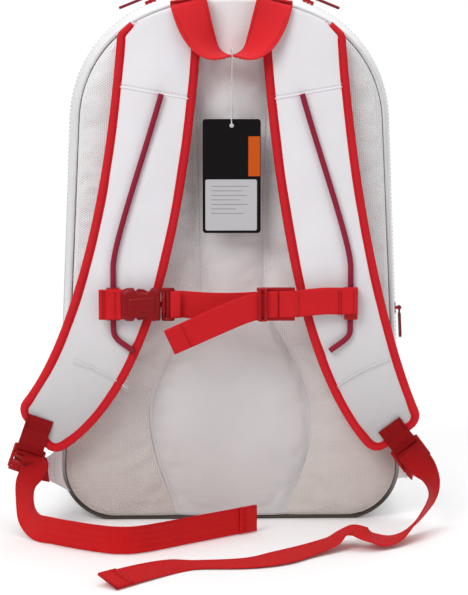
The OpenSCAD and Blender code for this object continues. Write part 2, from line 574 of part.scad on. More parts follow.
back_board();
back_pad(-1);  // back_pad_left
back_pad(1);  // back_pad_right
back_center_pad();
back_piping();
rear_gusset();
main_zip_tape();
front_gusset();
base_panel();
front_panel();
racket_divider();
front_pocket();
front_zip_tape();
side_zip_tape(-1);  // side_zip_tape_left
side_zip_tape(1);  // side_zip_tape_right
corner_wing(-1);  // corner_wing_left
corner_wing(1);  // corner_wing_right
haul_loop();
on_arch(-1, main_rest_a) slider();  // main_slider_left
on_arch(-1, main_rest_a) pull();  // main_pull_left
on_arch(1, main_rest_a) slider();  // main_slider_right
on_arch(1, main_rest_a) pull();  // main_pull_right
on_side_zip(-1) slider();  // side_slider_left
on_side_zip(-1) pull();  // side_pull_left
on_side_zip(1) slider();  // side_slider_right
on_side_zip(1) pull();  // side_pull_right
on_pocket() slider();  // front_slider
on_pocket() pull();  // front_pull
strap_root(-1);  // strap_root_left
strap_lining(-1);  // strap_lining_left
strap_foam(-1);  // strap_foam_left
strap_cover(-1);  // strap_cover_left
strap_binding(-1);  // strap_binding_left
strap_rail(-1);  // strap_rail_left
strap_end_loop(-1);  // strap_end_loop_left
ladder_lock(-1);  // ladder_lock_left
lower_webbing(-1);  // lower_webbing_left
lower_tail_left();
strap_root(1);  // strap_root_right
strap_lining(1);  // strap_lining_right
strap_foam(1);  // strap_foam_right
strap_cover(1);  // strap_cover_right
strap_binding(1);  // strap_binding_right
strap_rail(1);  // strap_rail_right
strap_end_loop(1);  // strap_end_loop_right
ladder_lock(1);  // ladder_lock_right
lower_webbing(1);  // lower_webbing_right
lower_tail_right();
rail_clip(-1);  // rail_clip_left
chest_webbing_left();
buckle_socket();
buckle_plug();
latch_arm(1);  // latch_arm_upper
latch_arm(-1);  // latch_arm_lower
chest_webbing_main();
chest_ladder_lock();
chest_webbing_right();
rail_clip(1);  // rail_clip_right
tag_cord();
tag_card();
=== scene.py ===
"""Looks of the racket backpack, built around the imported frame.

Shapes are worked out in millimetres on the frame's axes (+Z up, -Y towards the wearer), and a
mesh is made in metres when it is finished. Every piece is made of grids, sweeps and stitches.
"""

import math

import bpy
import numpy as np
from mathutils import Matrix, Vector, noise


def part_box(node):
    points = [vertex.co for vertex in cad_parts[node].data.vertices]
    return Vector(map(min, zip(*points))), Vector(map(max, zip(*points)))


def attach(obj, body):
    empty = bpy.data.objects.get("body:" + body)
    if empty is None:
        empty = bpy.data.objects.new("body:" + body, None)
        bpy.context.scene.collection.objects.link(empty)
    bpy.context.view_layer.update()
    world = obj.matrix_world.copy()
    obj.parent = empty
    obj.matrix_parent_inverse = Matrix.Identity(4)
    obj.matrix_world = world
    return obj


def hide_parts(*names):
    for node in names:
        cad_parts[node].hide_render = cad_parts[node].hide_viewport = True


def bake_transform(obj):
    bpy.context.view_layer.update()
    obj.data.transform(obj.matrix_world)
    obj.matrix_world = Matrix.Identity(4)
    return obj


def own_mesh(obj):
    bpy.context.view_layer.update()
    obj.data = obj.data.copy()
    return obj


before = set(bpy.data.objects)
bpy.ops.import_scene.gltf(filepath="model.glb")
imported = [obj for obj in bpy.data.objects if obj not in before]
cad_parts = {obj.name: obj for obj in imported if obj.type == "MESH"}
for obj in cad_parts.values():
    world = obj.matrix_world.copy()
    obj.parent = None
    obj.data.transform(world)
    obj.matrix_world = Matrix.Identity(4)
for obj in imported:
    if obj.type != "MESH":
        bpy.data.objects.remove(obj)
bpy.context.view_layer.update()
MM = 0.001


def node_box(node):
    """A node's lowest and highest corner in millimetres."""
    low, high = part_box(node)
    return np.array(low) / MM, np.array(high) / MM


# ---- Driving dimensions, the same ones that the frame was drawn from ----

PIPING_LOW, PIPING_HIGH = node_box("back_piping")
BAG_H = PIPING_HIGH[2]
BASE_W = 2 * PIPING_HIGH[0]
BAG_W = 292.0
BACK_Y = -98.0
BASE_DEPTH = 200.0
TOP_DEPTH = 120.0
SWELL = 10.0
TOP_R, SHOULDER_R, CORNER_R = 193.0, 112.0, 52.0
ZIP_Y = BACK_Y + 66.0
ZIP_SINK = 1.9  # the main zip lies this far below the wall's face
BASE_JOIN_Z = 81.0
BAG_MIDDLE = (0.0, 0.0, 250.0)
SIGN = {"left": -1.0, "right": 1.0}

TOP_C = np.array([0.0, BAG_H - TOP_R])
SHOULDER_X = BAG_W / 2 - SHOULDER_R
SHOULDER_C = np.array([SHOULDER_X, TOP_C[1] + math.sqrt((TOP_R - SHOULDER_R) ** 2 - SHOULDER_X**2)])
CORNER_C = np.array([BASE_W / 2 - CORNER_R, CORNER_R])
SHOULDER_A = math.atan2(SHOULDER_C[1] - TOP_C[1], SHOULDER_C[0])
SIDE_D = SHOULDER_C - CORNER_C
SIDE_A = math.atan2(SIDE_D[1], SIDE_D[0]) - math.acos((CORNER_R - SHOULDER_R) / np.hypot(*SIDE_D))


# ---- Small maths ----


def lerp(a, b, t):
    return a + (b - a) * t


def unit(v):
    """Vectors scaled to length 1."""
    v = np.asarray(v, float)
    return v / np.maximum(np.linalg.norm(v, axis=-1, keepdims=True), 1e-9)


def smooth(t):
    t = np.clip(t, 0, 1)
    return t * t * (3 - 2 * t)


def eased(n):
    """Numbers from -1 to 1 that lie closer together towards both ends."""
    return np.sin(np.linspace(-1, 1, n) * math.pi / 2)


def turns(n):
    """Angles once round a circle."""
    return np.linspace(0, 2 * math.pi, n, endpoint=False)


def squircle(power, n):
    """Points round a square of half width 1 with rounded corners."""
    c, s = np.cos(turns(n)), np.sin(turns(n))
    return np.stack([c, s], axis=1) * ((np.abs(c) ** power + np.abs(s) ** power) ** (-1 / power))[:, None]


def bulge(t):
    """Quarter circle: 0 at a seam, 1 and level once t reaches 1."""
    return np.sqrt(1 - (1 - np.clip(t, 0, 1)) ** 2)


def bezier(points, t):
    """Points at t on a cubic curve with four control points."""
    p = np.asarray(points, float)
    t = np.asarray(t, float)[..., None]
    return (1 - t) ** 3 * p[0] + 3 * t * (1 - t) ** 2 * p[1] + 3 * t * t * (1 - t) * p[2] + t**3 * p[3]


def spline(stations, n):
    """A smooth run through stations of (point, direction): points and directions."""
    rows = np.array([np.concatenate(station) for station in stations], float)
    out = []
    for i in range(len(rows) - 1):
        a, b, c, d = rows[max(i - 1, 0)], rows[i], rows[i + 1], rows[min(i + 2, len(rows) - 1)]
        for t in np.linspace(0, 1, n + 1)[0 if i == 0 else 1:]:
            out.append(0.5 * (2 * b + (c - a) * t + (2 * a - 5 * b + 4 * c - d) * t**2
                              + (3 * b - a - 3 * c + d) * t**3))
    out = np.array(out)
    return out[:, :3], unit(out[:, 3:])


def resample(path, step, closed=False):
    """The same path with evenly spaced stations. Extra columns are carried along."""
    path = np.asarray(path, float)
    if closed:
        path = np.vstack([path, path[:1]])
    dims = min(3, path.shape[1])
    run = np.concatenate([[0], np.cumsum(np.linalg.norm(np.diff(path[:, :dims], axis=0), axis=1))])
    n = max(3, int(round(run[-1] / step)) + 1)
    at = np.linspace(0, run[-1], n)
    out = np.stack([np.interp(at, run, path[:, k]) for k in range(path.shape[1])], axis=1)
    return out[:-1] if closed else out


def distance_to(points, line, closed=False):
    """Shortest distance from each 2-D point to a polyline."""
    line = np.asarray(line, float)
    a = line if closed else line[:-1]
    b = np.roll(line, -1, 0) if closed else line[1:]
    ab = b - a
    rel = points[:, None, :] - a[None]
    t = np.clip((rel * ab).sum(-1) / np.maximum((ab**2).sum(-1), 1e-9), 0, 1)
    return np.linalg.norm(rel - t[..., None] * ab, axis=-1).min(axis=1)


def ripple(points, scale, amount, seed=0.0):
    """Smooth random height at each 3-D point."""
    shift = Vector((seed, seed * 0.7, seed * 1.3))
    heights = [noise.noise(Vector(p) / scale + shift) for p in points.reshape(-1, 3)]
    return amount * np.reshape(heights, points.shape[:-1])


# ---- Materials ----


def srgb(r, g, b):
    """Linear colour of a 0 to 255 display colour."""
    linear = (((c / 255 + 0.055) / 1.055) ** 2.4 if c > 10 else c / 255 / 12.92 for c in (r, g, b))
    return (*linear, 1.0)


class Shader:
    """A Principled material with a few short ways to add nodes."""

    def __init__(self, name, color, rough, specular=0.5):
        self.mat = bpy.data.materials.new(name)
        self.mat.use_nodes = True
        self.nodes = self.mat.node_tree.nodes
        self.links = self.mat.node_tree.links
        self.bsdf = self.nodes["Principled BSDF"]
        self.color = color
        self.set("Base Color", color)
        self.set("Roughness", rough)
        self.set("Specular IOR Level", specular)

    def feed(self, socket, value):
        """Links a socket to another node's output, or gives it a plain value."""
        if isinstance(value, bpy.types.NodeSocket):
            self.links.new(value, socket)
        else:
            socket.default_value = value

    def set(self, name, value):
        self.feed(self.bsdf.inputs[name], value)

    def math(self, operation, a, b=0.0):
        node = self.nodes.new("ShaderNodeMath")
        node.operation = operation
        for socket, value in zip(node.inputs, (a, b)):
            self.feed(socket, value)
        return node.outputs[0]

    def coords(self, kind="Object"):
        return self.nodes.new("ShaderNodeTexCoord").outputs[kind]

    def split(self, vector):
        node = self.nodes.new("ShaderNodeSeparateXYZ")
        self.feed(node.inputs[0], vector)
        return node.outputs

    def uv(self, pitch):
        """U and V as radians per pitch, in millimetres of cloth."""
        turn = 2 * math.pi / (pitch * MM)
        return [self.math("MULTIPLY", axis, turn) for axis in self.split(self.coords("UV"))[:2]]

    def noise(self, size, detail=3.0):
        node = self.nodes.new("ShaderNodeTexNoise")
        self.feed(node.inputs["Vector"], self.coords())
        node.inputs["Scale"].default_value = 1 / (size * MM)
        node.inputs["Detail"].default_value = detail
        return node.outputs["Fac"]

    def mix(self, factor, a, b):
        node = self.nodes.new("ShaderNodeMix")
        node.data_type = "RGBA"
        self.feed(node.inputs["Factor"], factor)
        for name, value in (("A", a), ("B", b)):
            self.feed(next(s for s in node.inputs if s.name == name and s.type == "RGBA"), value)
        return next(s for s in node.outputs if s.type == "RGBA")

    def scale(self, color, share):
        """A colour made darker by a share from 0 to 1."""
        return self.mix(share, (0, 0, 0, 1), color)

    def remap(self, value, low, high, to_low, to_high):
        node = self.nodes.new("ShaderNodeMapRange")
        for socket, number in zip(node.inputs, (value, low, high, to_low, to_high)):
            self.feed(socket, number)
        return node.outputs[0]

    def bump(self, *layers):
        """Layers of (height socket, depth in millimetres)."""
        previous = None
        for height, depth in layers:
            node = self.nodes.new("ShaderNodeBump")
            node.inputs["Strength"].default_value = 1.0
            node.inputs["Distance"].default_value = depth * MM
            self.links.new(height, node.inputs["Height"])
            if previous:
                self.links.new(previous, node.inputs["Normal"])
            previous = node.outputs[0]
        self.links.new(previous, self.bsdf.inputs["Normal"])


def shade(color, share):
    return tuple(c * share for c in color[:3]) + (1.0,)


def weave_height(shader, kind, pitch):
    """Height of the cloth, about -1 to 1, from where the threads cross."""
    u, v = shader.uv(pitch)
    if kind == "plain":
        return shader.math("MULTIPLY", shader.math("SINE", u), shader.math("SINE", v))
    if kind == "grosgrain":
        return shader.math("SINE", v)
    if kind == "twill":
        zigzag = shader.math("PINGPONG", u, 4 * math.pi)
        return shader.math("SINE", shader.math("ADD", zigzag, v))
    # "mesh": three waves at 60 degrees leave a hexagonal grid of holes
    half_u = shader.math("MULTIPLY", u, -0.5)
    tall_v = shader.math("MULTIPLY", v, 0.866)
    waves = [u, shader.math("ADD", half_u, tall_v), shader.math("SUBTRACT", half_u, tall_v)]
    total = 0.0
    for wave in waves:
        total = shader.math("ADD", shader.math("COSINE", wave), total)
    return shader.math("MULTIPLY", total, -0.5)


def fabric(name, color, kind, pitch, depth, rough=0.85, sheen=0.12, contrast=0.85, mottle=0.05, fleck=0.04,
           specular=0.25, low=None, high=0.36):
    """Woven cloth: thread relief, painted shade in the gaps between threads, soft patches of tone and fine
    flecks.

    low is painted light and shade that follow height: the tone the cloth is given near the floor, fading into
    its own colour by the height high, in metres.
    """
    s = Shader(name, color, rough, specular)
    height = weave_height(s, kind, pitch)
    # painted shade: the gaps between threads are darkened by the weave's height
    lit = s.remap(height, -1, 1, contrast, 1)
    base = color
    # painted light and shade by height: low near the floor, the cloth's own colour from high up
    if low:
        height_up = s.split(s.coords())[2]
        base = s.mix(s.remap(height_up, 0.02, high, 0, 1), low, color)
    patches = s.remap(s.noise(45), 0.35, 0.65, 1 - mottle, 1)
    body = s.scale(base, s.math("MULTIPLY", lit, patches))
    flecks = s.remap(s.noise(1.1, 1.0), 0.3, 0.7, -fleck, fleck)
    s.set("Base Color", body)
    s.set("Roughness", s.math("ADD", flecks, rough))
    s.set("Sheen Weight", sheen)
    s.set("Sheen Roughness", 0.5)
    s.bump((height, depth), (s.noise(9.0, 2.0), 0.35))
    return s.mat


def plastic(name, color, rough=0.28):
    """Moulded acetal: glossy, faintly uneven, with a painted highlight that makes its sharp edges paler."""
    s = Shader(name, color, rough, 0.2)
    geometry = s.nodes.new("ShaderNodeNewGeometry")
    # painted highlight: sharp edges are made paler, as where they catch the light
    edge_highlight = s.remap(geometry.outputs["Pointiness"], 0.53, 0.62, 0, 0.35)
    pale = tuple(min(1.0, c * 1.5 + 0.02) for c in color[:3]) + (1.0,)
    s.set("Base Color", s.mix(edge_highlight, color, pale))
    s.set("Roughness", s.remap(s.noise(6.0, 4.0), 0.3, 0.7, rough - 0.06, rough + 0.10))
    s.set("Coat Weight", 0.08)
    s.set("Coat Roughness", 0.15)
    s.bump((s.noise(0.7, 2.0), 0.02))
    return s.mat


def paper(name, color, rough=0.55, specular=0.3):
    """Printed card: flat colour with a faint fibre."""
    s = Shader(name, color, rough, specular)
    fibre = s.remap(s.noise(0.6, 4.0), 0.3, 0.7, 0, 1)
    s.set("Base Color", s.mix(fibre, shade(color, 0.9), color))
    s.bump((s.noise(0.4, 3.0), 0.03))
    return s.mat


RED = dict(rough=0.6, sheen=0.02, specular=0.14)

SHELL = fabric("shell_weave", srgb(244, 244, 246), "plain", 0.9, 0.05, contrast=0.93, mottle=0.03)
# painted shade: the pad mesh turns a darker warm grey towards the floor
PAD_MESH = fabric("pad_mesh", srgb(247, 247, 248), "mesh", 1.9, 0.22, contrast=0.86,
                  low=srgb(214, 206, 200), high=0.24)
# painted shade: the centre pad darker towards the floor
CENTER = fabric("center_cloth", srgb(250, 251, 252), "plain", 0.8, 0.05, contrast=0.93,
                low=srgb(212, 208, 208))
# painted shade: the lower straps darker towards the floor
STRAP = fabric("strap_cloth", srgb(240, 238, 242), "plain", 0.7, 0.03, rough=0.7, contrast=0.96, mottle=0.02,
               low=srgb(178, 178, 177), high=0.25)
LINING = fabric("lining_mesh", srgb(214, 212, 210), "mesh", 1.9, 0.2, contrast=0.75)
# painted light: the red webbing brighter towards the top of the bag, darker near the floor
WEB = fabric("web_twill", srgb(255, 48, 56), "twill", 1.5, 0.16, contrast=0.74,
             low=srgb(222, 22, 30), high=0.5, **RED)
# painted shade: a shaded copy of the red webbing for the tails, lower runs and end loops, darkest above the
# floor and brighter where the tails lie on it
WEB_SHADED = fabric("web_tail_shaded", srgb(160, 10, 16), "twill", 1.5, 0.16, contrast=0.74,
                  low=srgb(222, 20, 24), high=0.08, **RED)
BINDING = fabric("binding_rib", srgb(224, 30, 42), "grosgrain", 1.1, 0.10, contrast=0.80, **RED)
RAIL = fabric("rail_cord", srgb(160, 36, 60), "grosgrain", 1.3, 0.12, contrast=0.78, **RED)
TAPE = fabric("zip_weave", srgb(206, 22, 30), "grosgrain", 0.8, 0.06, **RED)
THREAD = fabric("thread", srgb(176, 14, 24), "grosgrain", 0.5, 0.05, **RED)
WHITE_THREAD = fabric("white_thread", srgb(224, 224, 226), "grosgrain", 0.5, 0.05, rough=0.6)
STRING = fabric("string", srgb(240, 240, 240), "grosgrain", 0.9, 0.08, rough=0.7)
# dark towards the floor: partly the dark seam binding, partly painted contact shadow where the panel meets
# the floor
PIPING = fabric("back_piping", srgb(240, 240, 241), "grosgrain", 0.9, 0.08, rough=0.7,
                low=srgb(78, 70, 63), high=0.09)
FOAM = fabric("grey_foam", srgb(120, 120, 124), "plain", 1.5, 0.1)
BUCKLE = plastic("buckle_acetal", srgb(140, 3, 12), 0.42)
LADDER = plastic("ladder_acetal", srgb(165, 9, 16), 0.36)
COIL = plastic("coil_nylon", srgb(184, 16, 26), 0.35)
SLIDER = plastic("slider_lacquer", srgb(168, 14, 28), 0.25)
PULL = plastic("pull_rubber", srgb(120, 16, 32), 0.5)
BOARD = plastic("stiffener", srgb(60, 60, 62), 0.5)
CARD = paper("card_black", srgb(15, 10, 14), 0.55, 0.12)
LABEL = paper("label_white", srgb(200, 199, 202))
INK = paper("label_grey", srgb(150, 149, 152))
PATCH = paper("card_orange", srgb(212, 88, 16), 0.6, 0.15)


# ---- Meshes ----


def make_mesh(name, verts, faces, loop_uv, material):
    """An object in the scene from points and UVs in millimetres."""
    mesh = bpy.data.meshes.new(name)
    mesh.from_pydata((np.asarray(verts) * MM).tolist(), [], faces)
    layer = mesh.uv_layers.new(name="UVMap")
    layer.data.foreach_set("uv", (np.asarray(loop_uv, np.float32) * MM).ravel())
    mesh.polygons.foreach_set("use_smooth", [True] * len(mesh.polygons))
    obj = bpy.data.objects.new(name, mesh)
    bpy.context.scene.collection.objects.link(obj)
    mesh.materials.append(material)
    mesh.update()
    return obj


def grid(name, P, material, closed=False, caps=False, second=None, second_columns=None):
    """A sheet, or a tube when its columns close, from rows of points. Its UVs are millimetres of cloth."""
    rows, cols = P.shape[:2]
    wide = np.linalg.norm(np.diff(np.concatenate([P, P[:, :1]], axis=1), axis=1), axis=2).mean(axis=0)
    tall = np.linalg.norm(np.diff(P, axis=0), axis=2).mean(axis=1)
    U = np.concatenate([[0], np.cumsum(wide)])
    V = np.concatenate([[0], np.cumsum(tall)])
    last = cols if closed else cols - 1
    i, j = (index.ravel() for index in np.meshgrid(np.arange(rows - 1), np.arange(last), indexing="ij"))
    k = (j + 1) % cols
    quads = np.stack([i * cols + j, i * cols + k, (i + 1) * cols + k, (i + 1) * cols + j], axis=1)
    uv = np.stack([U[j], V[i], U[j + 1], V[i], U[j + 1], V[i + 1], U[j], V[i + 1]], axis=1).reshape(-1, 2)
    faces = quads.tolist()
    if caps and closed:
        cap_uv = np.stack([U[:cols], np.zeros(cols)], axis=1)
        faces += [list(range(cols))[::-1], list(range((rows - 1) * cols, rows * cols))]
        uv = np.vstack([uv, cap_uv[::-1], cap_uv])
    obj = make_mesh(name, P.reshape(-1, 3), faces, uv, material)
    if second is not None:
        obj.data.materials.append(second)
        index = np.zeros(len(faces), np.int32)
        index[: len(quads)] = np.isin(j, second_columns)
        obj.data.polygons.foreach_set("material_index", index)
    return obj


def face_away(obj, inside=BAG_MIDDLE):
    """Turns the faces of a sheet away from a point, given in millimetres."""
    mesh = obj.data
    inside = Vector(inside) * MM
    if sum(face.area * face.normal.dot(face.center - inside) for face in mesh.polygons) < 0:
        mesh.flip_normals()
    return obj


def inflate(obj, pinned, cap, pressure=4.0, slack=0.02, frames=20):
    """Blows a sheet up like cloth sewn down at its pinned points, and keeps the result in its mesh."""
    mesh = obj.data
    group = obj.vertex_groups.new(name="sewn")
    group.add(np.flatnonzero(pinned.ravel()).tolist(), 1.0, "REPLACE")
    mod = obj.modifiers.new("inflate", "CLOTH")
    cloth = mod.settings
    cloth.vertex_group_mass = group.name
    cloth.use_pressure = True
    cloth.uniform_pressure_force = pressure
    cloth.shrink_min = -slack
    cloth.bending_stiffness = 0.4
    cloth.effector_weights.gravity = 0
    mod.point_cache.frame_end = frames
    for frame_number in range(1, frames + 1):
        bpy.context.scene.frame_set(frame_number)
    puffed = obj.evaluated_get(bpy.context.evaluated_depsgraph_get())
    start, end = np.zeros(len(mesh.vertices) * 3), np.zeros(len(mesh.vertices) * 3)
    mesh.vertices.foreach_get("co", start)
    puffed.data.vertices.foreach_get("co", end)
    obj.modifiers.remove(mod)
    obj.vertex_groups.remove(group)
    bpy.context.scene.frame_set(1)
    move = (end - start).reshape(-1, 3)
    length = np.linalg.norm(move, axis=1, keepdims=True)
    limit = cap * MM
    move *= limit * np.tanh(length / limit) / np.maximum(length, 1e-9)
    mesh.vertices.foreach_set("co", start + move.ravel())
    mesh.update()
    return obj


def flat_uv(obj):
    """Lays the weave straight across a panel that faces front or back."""
    mesh = obj.data
    co = np.zeros(len(mesh.vertices) * 3)
    mesh.vertices.foreach_get("co", co)
    index = np.zeros(len(mesh.loops), np.int32)
    mesh.loops.foreach_get("vertex_index", index)
    co = co.reshape(-1, 3)[index]
    mesh.uv_layers[0].data.foreach_set("uv", co[:, [0, 2]].astype(np.float32).ravel())


def panel(name, P, material, closed=False):
    """A sheet on the bag's front or back, with its weave laid straight across."""
    obj = face_away(grid(name, P, material, closed=closed))
    flat_uv(obj)
    return obj


def thicken(obj, thickness, offset=0.0):
    """Gives a sheet the thickness of its cloth, in millimetres."""
    mod = obj.modifiers.new("cloth_thickness", "SOLIDIFY")
    mod.thickness = thickness * MM
    mod.offset = offset
    return obj


def soften(obj, width, segments=3, angle=35):
    """Rounds the sharp edges of a moulded piece by a width in millimetres."""
    mod = obj.modifiers.new("moulded_edges", "BEVEL")
    mod.width = width * MM
    mod.segments = segments
    mod.limit_method = "ANGLE"
    mod.angle_limit = math.radians(angle)


def tangents(path, closed=False):
    """The direction of a path at each of its stations."""
    if closed:
        return unit(np.roll(path, -1, 0) - np.roll(path, 1, 0))
    return unit(np.gradient(path, axis=0))


def sweep(name, path, A, B, section, material, closed_path=False):
    """Carries a closed section along a path. A and B are the section's own two directions at each station."""
    section = np.asarray(section, float)
    P = path[:, None] + section[None, :, 0, None] * A[:, None] + section[None, :, 1, None] * B[:, None]
    if closed_path:
        P = np.concatenate([P, P[:1]], axis=0)
    return grid(name, P, material, closed=True, caps=not closed_path)


def tube(name, path, radius, material, across=(0, 1, 0), closed=False, flat=None, sides=10):
    """A round cord along a path, or an oval one with flat as its other radius."""
    path = np.asarray(path, float)
    T = tangents(path, closed)
    A = unit(np.cross(T, np.broadcast_to(across, T.shape)))
    section = np.stack([radius * np.cos(turns(sides)), (flat or radius) * np.sin(turns(sides))], axis=1)
    return sweep(name, path, A, np.cross(T, A), section, material, closed_path=closed)


def band_section(width, thick):
    """Webbing seen end on: flat faces, rounded selvedges and a faint hollow beside each one."""
    x = width / 2
    h = thick / 2
    top = [(-x, 0.2 * h), (-x + 0.5, h), (-x + 2, h), (-x + 3, 0.82 * h), (0, 0.9 * h)]
    top += [(-a, b) for a, b in top[-2::-1]]
    return np.array(top + [(a, -b) for a, b in top[::-1]])


def webbing(name, path, across, width, thick, material):
    """A length of webbing. across is the direction of its width at each station."""
    path = np.asarray(path, float)
    T = tangents(path)
    A = unit(across)
    A = unit(A - (A * T).sum(axis=1, keepdims=True) * T)
    return sweep(name, path, A, np.cross(T, A), band_section(width, thick), material)


def capsules(name, centers, along, across, half_length, radius, material, flat=0.8):
    """Many small round-ended threads or teeth in one mesh."""
    centers, along, across = (np.asarray(v, float).reshape(-1, 3) for v in (centers, along, across))
    along = unit(along)
    normal = unit(np.cross(along, across))
    across = np.cross(normal, along)
    sides = 6
    rings = [(-1.0, 0.35), (-0.7, 1.0), (0.7, 1.0), (1.0, 0.35)]
    local = np.array([(half_length * x, radius * s * math.cos(t), radius * flat * s * math.sin(t))
                      for x, s in rings for t in turns(sides)])
    axes = (along, across, normal)
    P = centers[:, None] + sum(local[None, :, k, None] * axis[:, None] for k, axis in enumerate(axes))
    one = []
    for r in range(len(rings) - 1):
        for k in range(sides):
            n = (k + 1) % sides
            one.append([r * sides + k, r * sides + n, (r + 1) * sides + n, (r + 1) * sides + k])
    one += [list(range(sides))[::-1], list(range((len(rings) - 1) * sides, len(rings) * sides))]
    faces = [[v + m * len(local) for v in face] for m in range(len(centers)) for face in one]
    uv = np.concatenate([local[face][:, :2] for face in one])
    return make_mesh(name, P.reshape(-1, 3), faces, np.tile(uv, (len(centers), 1)), material)


def stitches(name, runs, slot="shell_fabric", body="bag", length=2.6, gap=1.5, radius=0.36, bend=None):
    """Runs of thread, each a path of points and the direction that faces out of the cloth."""
    centers, along, across = [], [], []
    for path, out in runs:
        path = resample(path, length + gap)
        T = tangents(path)
        centers.append(path)
        along.append(T)
        across.append(np.cross(T, np.broadcast_to(unit(out), T.shape)))
    thread = THREAD if slot == "web_red" else WHITE_THREAD
    obj = capsules(name, np.vstack(centers), np.vstack(along), np.vstack(across), length / 2, radius, thread)
    return fit(obj, slot, body, bend=bend)


def fit(obj, slot, body, *nodes, bend=None):
    """Hides the nodes a piece stands for and hangs it on its body; a piece given a bend has its place baked
    into its mesh instead. slot is not used.
    """
    if nodes:
        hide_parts(*nodes)
    if bend:
        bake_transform(obj)
    else:
        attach(obj, body)
    return obj


# ---- Bag: outline and walls ----


def arc(center, radius, start, end, n):
    """Part of a circle as rows of x, z and outward normal."""
    a = np.linspace(start, end, n)
    d = np.stack([np.cos(a), np.sin(a)], axis=1)
    return np.hstack([center + radius * d, d])


def outline(inset=0.0, step=5.0):
    """The bag's outline from the middle of the base, up the right side and back: x, z and outward normal."""
    flat = np.array([[x, inset, 0.0, -1.0] for x in np.linspace(0, CORNER_C[0], 8)])
    corner = arc(CORNER_C, CORNER_R - inset, -math.pi / 2, SIDE_A, 14)
    shoulder = arc(SHOULDER_C, SHOULDER_R - inset, SIDE_A, SHOULDER_A, 16)
    top = arc(TOP_C, TOP_R - inset, SHOULDER_A, math.pi / 2, 16)
    half = np.vstack([flat[:-1], corner, shoulder[:-1], top])
    other = half[::-1][1:-1] * (-1, 1, -1, 1)
    full = resample(np.vstack([half, other]), step, closed=True)
    full[:, 2:] = unit(full[:, 2:])
    return full


def half_width(z, inset=0.0):
    """Half the bag's width at a height."""
    ring = outline(inset, 3.0)
    right = ring[ring[:, 0] > 0]
    order = np.argsort(right[:, 1])
    return np.interp(z, right[order, 1], right[order, 0])


def front_y(z):
    """Depth of the seam round the front panel, which leans back towards the top."""
    return BACK_Y + BASE_DEPTH + (TOP_DEPTH - BASE_DEPTH) * (np.clip(z, 0, BAG_H) / BAG_H) ** 1.6


def swell_at(y, z):
    """How far the side wall swells out past its two seams."""
    return SWELL * np.sin(np.pi * (y - BACK_Y) / (front_y(z) - BACK_Y))


def on_wall(ring, y, lift=0.0):
    """Points on the side wall at a ring's stations, at depth y and lifted off the cloth."""
    y = np.broadcast_to(np.asarray(y, float), len(ring))
    out = swell_at(y, ring[:, 1]) + lift
    return np.stack([ring[:, 0] + out * ring[:, 2], y, ring[:, 1] + out * ring[:, 3]], axis=1)


def at_side_zip(P):
    """1 where the wall lies under a side zip, fading to 0 round it."""
    low, high = node_box("side_zip_tape_right")
    tall = smooth((P[..., 2] - low[2] + 22) / 18) * smooth((high[2] + 22 - P[..., 2]) / 18)
    return tall * np.exp(-(((P[..., 1] - (low[1] + high[1]) / 2) / 17) ** 4))


def wall(ring, y0, y1, rows, wrinkle, seed):
    """Part of the side wall between two depths. Its wrinkles die out at its seams and under the side zips."""
    shares = np.linspace(0, 1, rows)
    P = np.stack([on_wall(ring, lerp(y0, y1, f)) for f in shares])
    wave = ripple(P * (1.0, 0.55, 1.0), 62.0, wrinkle, seed) + ripple(P, 24.0, 0.35 * wrinkle, seed + 3)
    fade = np.sin(np.pi * shares[:, None]) ** 0.6
    under_zip = at_side_zip(P)
    push = wave * fade * (1 - under_zip) - 0.9 * under_zip
    P[..., [0, 2]] += push[..., None] * ring[None, :, 2:]
    P[..., 2] = np.maximum(P[..., 2], 0.3)
    return P


def run_where(keep, points):
    """The unbroken run of a closed ring's points where keep holds."""
    start = int(np.argmax(~keep))
    return np.roll(points, -start, axis=0)[np.roll(keep, -start)]


def upper(ring):
    """The part of a ring above the base, from the right side over the top to the left side."""
    return ring[ring[:, 1] > BASE_JOIN_Z]


def build_walls():
    """Side walls behind and in front of the main zip, the base, and the seams that join them."""
    ring = outline()
    up = upper(ring)
    base = run_where(ring[:, 1] < BASE_JOIN_Z, ring)
    zip_half = 6.0
    parts = (
        ("rear_wall", "rear_gusset", wall(up, BACK_Y, ZIP_Y - zip_half, 14, 1.6, 1.0)),
        ("front_wall", "front_gusset", wall(up, ZIP_Y + zip_half, front_y(up[:, 1]), 30, 2.6, 5.0)),
        ("base_wall", "base_panel", wall(base, BACK_Y, front_y(base[:, 1]), 40, 1.2, 9.0)),
    )
    for name, node, P in parts:
        obj = face_away(grid(name, P, SHELL))
        fit(thicken(obj, 2.0, -1.0), "shell_fabric", "bag", node)
    for side, station in (("right", up[0]), ("left", up[-1])):
        name, sign = "base_seam_" + side, SIGN[side]
        path = on_wall(np.tile(station, (40, 1)), np.linspace(BACK_Y + 2, front_y(station[1]) - 1, 40), 0.5)
        path[:, 2] = BASE_JOIN_Z
        fit(tube(name, path, 1.3, SHELL, across=(0, 0, 1)), "shell_fabric", "bag")
        stitches(name + "_stitch", [(path + (0.8 * sign, 0, dz), (sign, 0, 0)) for dz in (-3.4, 3.4)])


def build_edge_piping():
    """Piping in the two long seams, with its row of stitches on the wall beside it."""
    for name, inset, radius in (("back_edge", 1.2, 1.9), ("front_edge", 0.5, 2.5)):
        ring = outline(inset, 4.0)
        if name == "back_edge":
            seam, past, inward = np.full(len(ring), BACK_Y), -1.5, 5.0
            material, nodes = PIPING, ["back_piping"]
        else:
            seam, past, inward = front_y(ring[:, 1]), 0.6, -5.0
            material, nodes = SHELL, []
        path = np.stack([ring[:, 0], seam + past, np.maximum(ring[:, 1], radius + 0.1)], axis=1)
        fit(tube(name + "_piping", path, radius, material, closed=True), "shell_fabric", "bag", *nodes)
        run = run_where(ring[:, 1] > 8, on_wall(ring, seam + inward, 0.3))
        stitches(name + "_stitch", [(run, (0, 0, 1))])


# ---- Bag: zips ----

# Half of a zip's tape seen end on: distance from its middle and height
TAPE_SECTION = ((1.3, 0.9), (2.4, 1.0), (4.0, 0.7), (6.6, 0.5), (6.6, 0.0), (1.3, 0.1))


